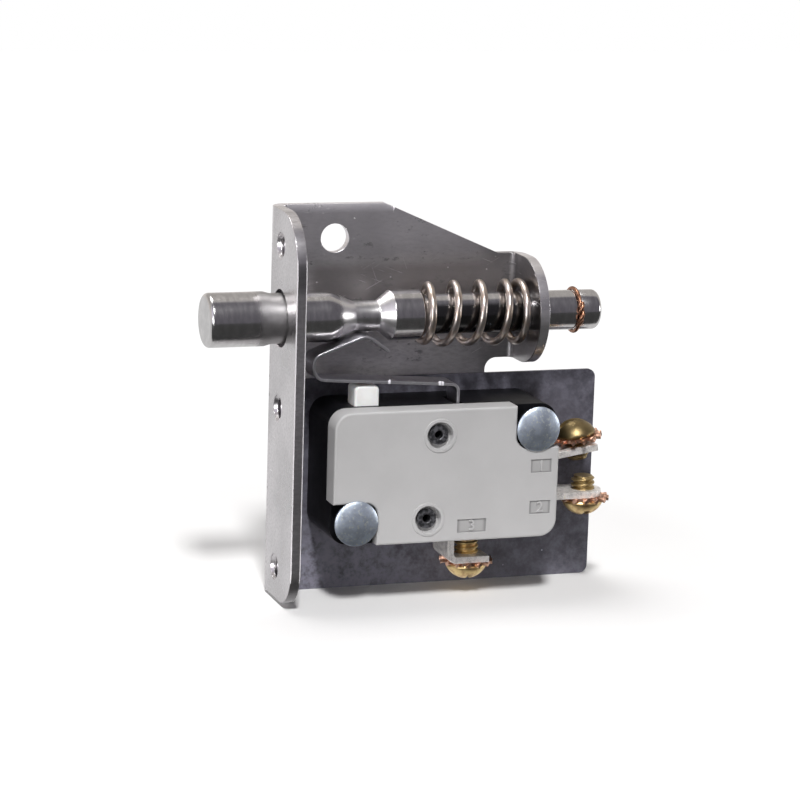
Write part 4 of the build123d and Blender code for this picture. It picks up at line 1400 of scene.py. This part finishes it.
class INTERLOCK_OT_case(bpy.types.Operator):
    """Finish the switch case, its eyelets, numbers, rivets and button"""

    bl_idname = "interlock.case"
    bl_label = "Switch case"

    def execute(self, context):
        palette = colours()
        grey, black = cover_moulding(palette.cover, label_frames()), base_moulding(palette.base)
        edge = sizes().cover_edge
        dressed("switch_cover", "cover_shell", grey, edge, "grey_plastic", segments=3)
        dressed("switch_base", "base_shell", black, 0.12, "black_plastic")
        dressed("mounting_rivets", "rivets", zinc_plate(palette.zinc), 0.08, "zinc_steel")
        dressed("case_eyelets", "eyelets", dark_eyelet(palette.eyelet), 0.08, "dark_steel")
        white = nylon(palette.nylon)
        dressed("switch_button", "nylon_button", white, 0.45, "white_plastic", BUTTON_BODY, 4)
        number_terminals(grey)
        return {"FINISHED"}


def label_frames():
    """Corners of the cover's three sunk frames, from its front to their floors."""
    low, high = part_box("switch_cover")
    front = low.y + EYELET_RIM
    width, height = LABEL_SIZE
    beside = high.x - LABEL_INSET
    places = (
        (beside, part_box("nc_terminal")[0].z, width),
        (beside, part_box("no_terminal")[0].z, width),
        (centre("com_screw").x - LABEL_BEFORE_SCREW, low.z + LABEL_RISE, LABEL_WIDE),
    )
    frames = []
    for x, z, wide in places:
        corner = Vector((x - wide / 2, front + LABEL_DEPTH * 0.3, z - height / 2))
        far = Vector((x + wide / 2, front + LABEL_DEPTH * 0.7, z + height / 2))
        frames.append((corner, far))
    return frames


def number_terminals(material):
    """Raised plain numbers 1 to 3 in the cover's sunk frames."""
    lift = LABEL_DEPTH
    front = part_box("switch_cover")[0].y + EYELET_RIM
    for number, (corner, far) in enumerate(label_frames(), start=1):
        x, z = (corner.x + far.x) / 2, (corner.z + far.z) / 2
        curve = bpy.data.curves.new(f"number_{number}", "FONT")
        curve.body = str(number)
        curve.align_x = "CENTER"
        curve.align_y = "CENTER"
        curve.size = NUMBER_HEIGHT / 0.7
        curve.extrude = lift / 2
        curve.bevel_depth = 0.02 * MM
        place = Matrix.Translation((x, front + lift / 2 + 0.02 * MM, z))
        place @= Matrix.Rotation(math.pi / 2, 4, "X")
        source = fresh_object(curve.name, curve, material)
        piece = baked(source, f"terminal_number_{number}", place)
        seated(piece, BRACKET_BODY, "grey_plastic")


class INTERLOCK_OT_terminals(bpy.types.Operator):
    """Finish the terminals and make their threaded screws and toothed washers"""

    bl_idname = "interlock.terminals"
    bl_label = "Terminals"

    def execute(self, context):
        tin = tinned_strip(colours().tin)
        brass = screw_brass(colours().brass)
        copper = copper_metal("washer_copper", colours().copper, 0.45)
        washer = lockwasher_shape()
        thread = thread_shape()
        mounts = {mount["name"]: mount for mount in frame["record"]["mounts"]}
        teeth = {"Teeth": sizes().teeth, "Twist": 0.55, "Thickness": WASHER_T}
        for name in ("com", "no", "nc"):
            dressed(f"{name}_terminal", f"{name}_strip", tin, 0.1, "tinned_brass")
            seat = screw_seat(name, mounts[f"{name}_wire_screw"]["axis"])
            star = washer.grow(f"{name}_toothed_washer", teeth, copper, seat)
            seated(star, BRACKET_BODY, "copper", f"{name}_lockwasher")
            screw = make_screw(name, thread, brass, seat)
            seated(screw, BRACKET_BODY, "brass", f"{name}_screw")
        return {"FINISHED"}


def screw_seat(name, axis):
    """The place of a screw on its tab's outer face, with Z out of the tab."""
    outward = Vector(axis)
    if name == "nc":
        outward = Vector((-math.sin(NC_TILT), 0.0, math.cos(NC_TILT)))
    return frame_at(centre(f"{name}_lockwasher") - outward * WASHER_T / 2, outward)


def make_screw(name, thread, material, seat):
    """A slotted round head screw with a threaded shank, on its washer."""
    rise = HEAD_CROWN - HEAD_RIM
    ball = (HEAD_R**2 + rise**2) / (2 * rise)
    swing = math.degrees(math.asin(HEAD_R / ball))
    dome = arc_points((0.0, HEAD_CROWN - ball), ball, 90.0, 90.0 - swing, 14)
    dome[0] = (0.0, HEAD_CROWN)
    section = dome + [(HEAD_R, HEAD_RIM * 0.5), (HEAD_R - HEAD_FOOT, 0.0), (0.0, 0.0)]
    head = lathed(f"{name}_head", section, material)
    work = bmesh.new()
    bmesh.ops.create_cube(work, size=1.0)
    cutter = fresh_object("slot_cutter", mesh_from(work, "slot_cutter"))
    cutter.data.transform(
        Matrix.Translation((0.0, 0.0, HEAD_CROWN))
        @ Matrix.Diagonal((SLOT_WIDTH, 3 * HEAD_R, 2 * SLOT_DEPTH, 1.0))
    )
    cut = head.modifiers.new("slot", "BOOLEAN")
    cut.operation = "DIFFERENCE"
    cut.solver = "EXACT"
    cut.object = cutter
    round_edges(head, 0.05, turn=35.0).harden_normals = True
    top = seat @ Matrix.Translation((0.0, 0.0, WASHER_T))
    head = baked(head, f"{name}_head", top)
    bpy.data.objects.remove(cutter)
    values = {
        "Diameter": SHANK_D,
        "Length": WASHER_T + TAB_T + STUB,
        "Pitch": sizes().pitch,
        "Depth": THREAD_DEPTH,
    }
    shank = thread.grow(f"{name}_shank", values, material, top)
    return joined(f"{name}_slotted_screw", head, shank)


def joined(name, *pieces):
    """Several meshes as one piece."""
    work = bmesh.new()
    for piece in pieces:
        work.from_mesh(piece.data)
    mesh = pieces[0].data.copy()
    mesh.clear_geometry()
    work.to_mesh(mesh)
    work.free()
    mesh.name = name
    mesh.shade_smooth()
    mesh.set_sharp_from_angle(angle=math.radians(40))
    for piece in pieces:
        bpy.data.objects.remove(piece)
    return fresh_object(name, mesh)


class INTERLOCK_OT_contacts(bpy.types.Operator):
    """Finish the blade, its snap spring and the contacts inside the case"""

    bl_idname = "interlock.contacts"
    bl_label = "Contacts"

    def execute(self, context):
        bronze = copper_metal("blade_copper", colours().blade, 0.6)
        silver = contact_silver(colours().silver)
        for node in ("moving_blade", "snap_spring"):
            paint_node(node, bronze)
        for node in ("moving_contact", "no_contact", "nc_contact"):
            paint_node(node, silver)
        return {"FINISHED"}


OPERATORS = (
    INTERLOCK_OT_stage,
    INTERLOCK_OT_bracket,
    INTERLOCK_OT_insulator,
    INTERLOCK_OT_plunger,
    INTERLOCK_OT_leaf,
    INTERLOCK_OT_case,
    INTERLOCK_OT_terminals,
    INTERLOCK_OT_contacts,
)


class INTERLOCK_PT_parts(bpy.types.Panel):
    """The parts of the interlock switch, one button each"""

    bl_idname = "INTERLOCK_PT_parts"
    bl_label = "Interlock switch"
    bl_space_type = "VIEW_3D"
    bl_region_type = "UI"
    bl_category = "Interlock"

    def draw(self, context):
        for operator in OPERATORS:
            self.layout.operator(operator.bl_idname)
        for group in (context.scene.interlock_sizes, context.scene.interlock_colours):
            for name in group.bl_rna.properties.keys():
                if name not in ("rna_type", "name"):
                    self.layout.prop(group, name)


CLASSES = (InterlockSizes, InterlockColours, *OPERATORS, INTERLOCK_PT_parts)


def register():
    for item in CLASSES:
        bpy.utils.register_class(item)
    bpy.types.Scene.interlock_sizes = bpy.props.PointerProperty(type=InterlockSizes)
    bpy.types.Scene.interlock_colours = bpy.props.PointerProperty(type=InterlockColours)


def unregister():
    del bpy.types.Scene.interlock_colours
    del bpy.types.Scene.interlock_sizes
    for item in reversed(CLASSES):
        bpy.utils.unregister_class(item)


def main():
    register()
    bpy.context.scene.view_settings.view_transform = "Standard"
    for operator in OPERATORS:
        area, name = operator.bl_idname.split(".")
        getattr(getattr(bpy.ops, area), name)()


if __name__ == "__main__":
    main()
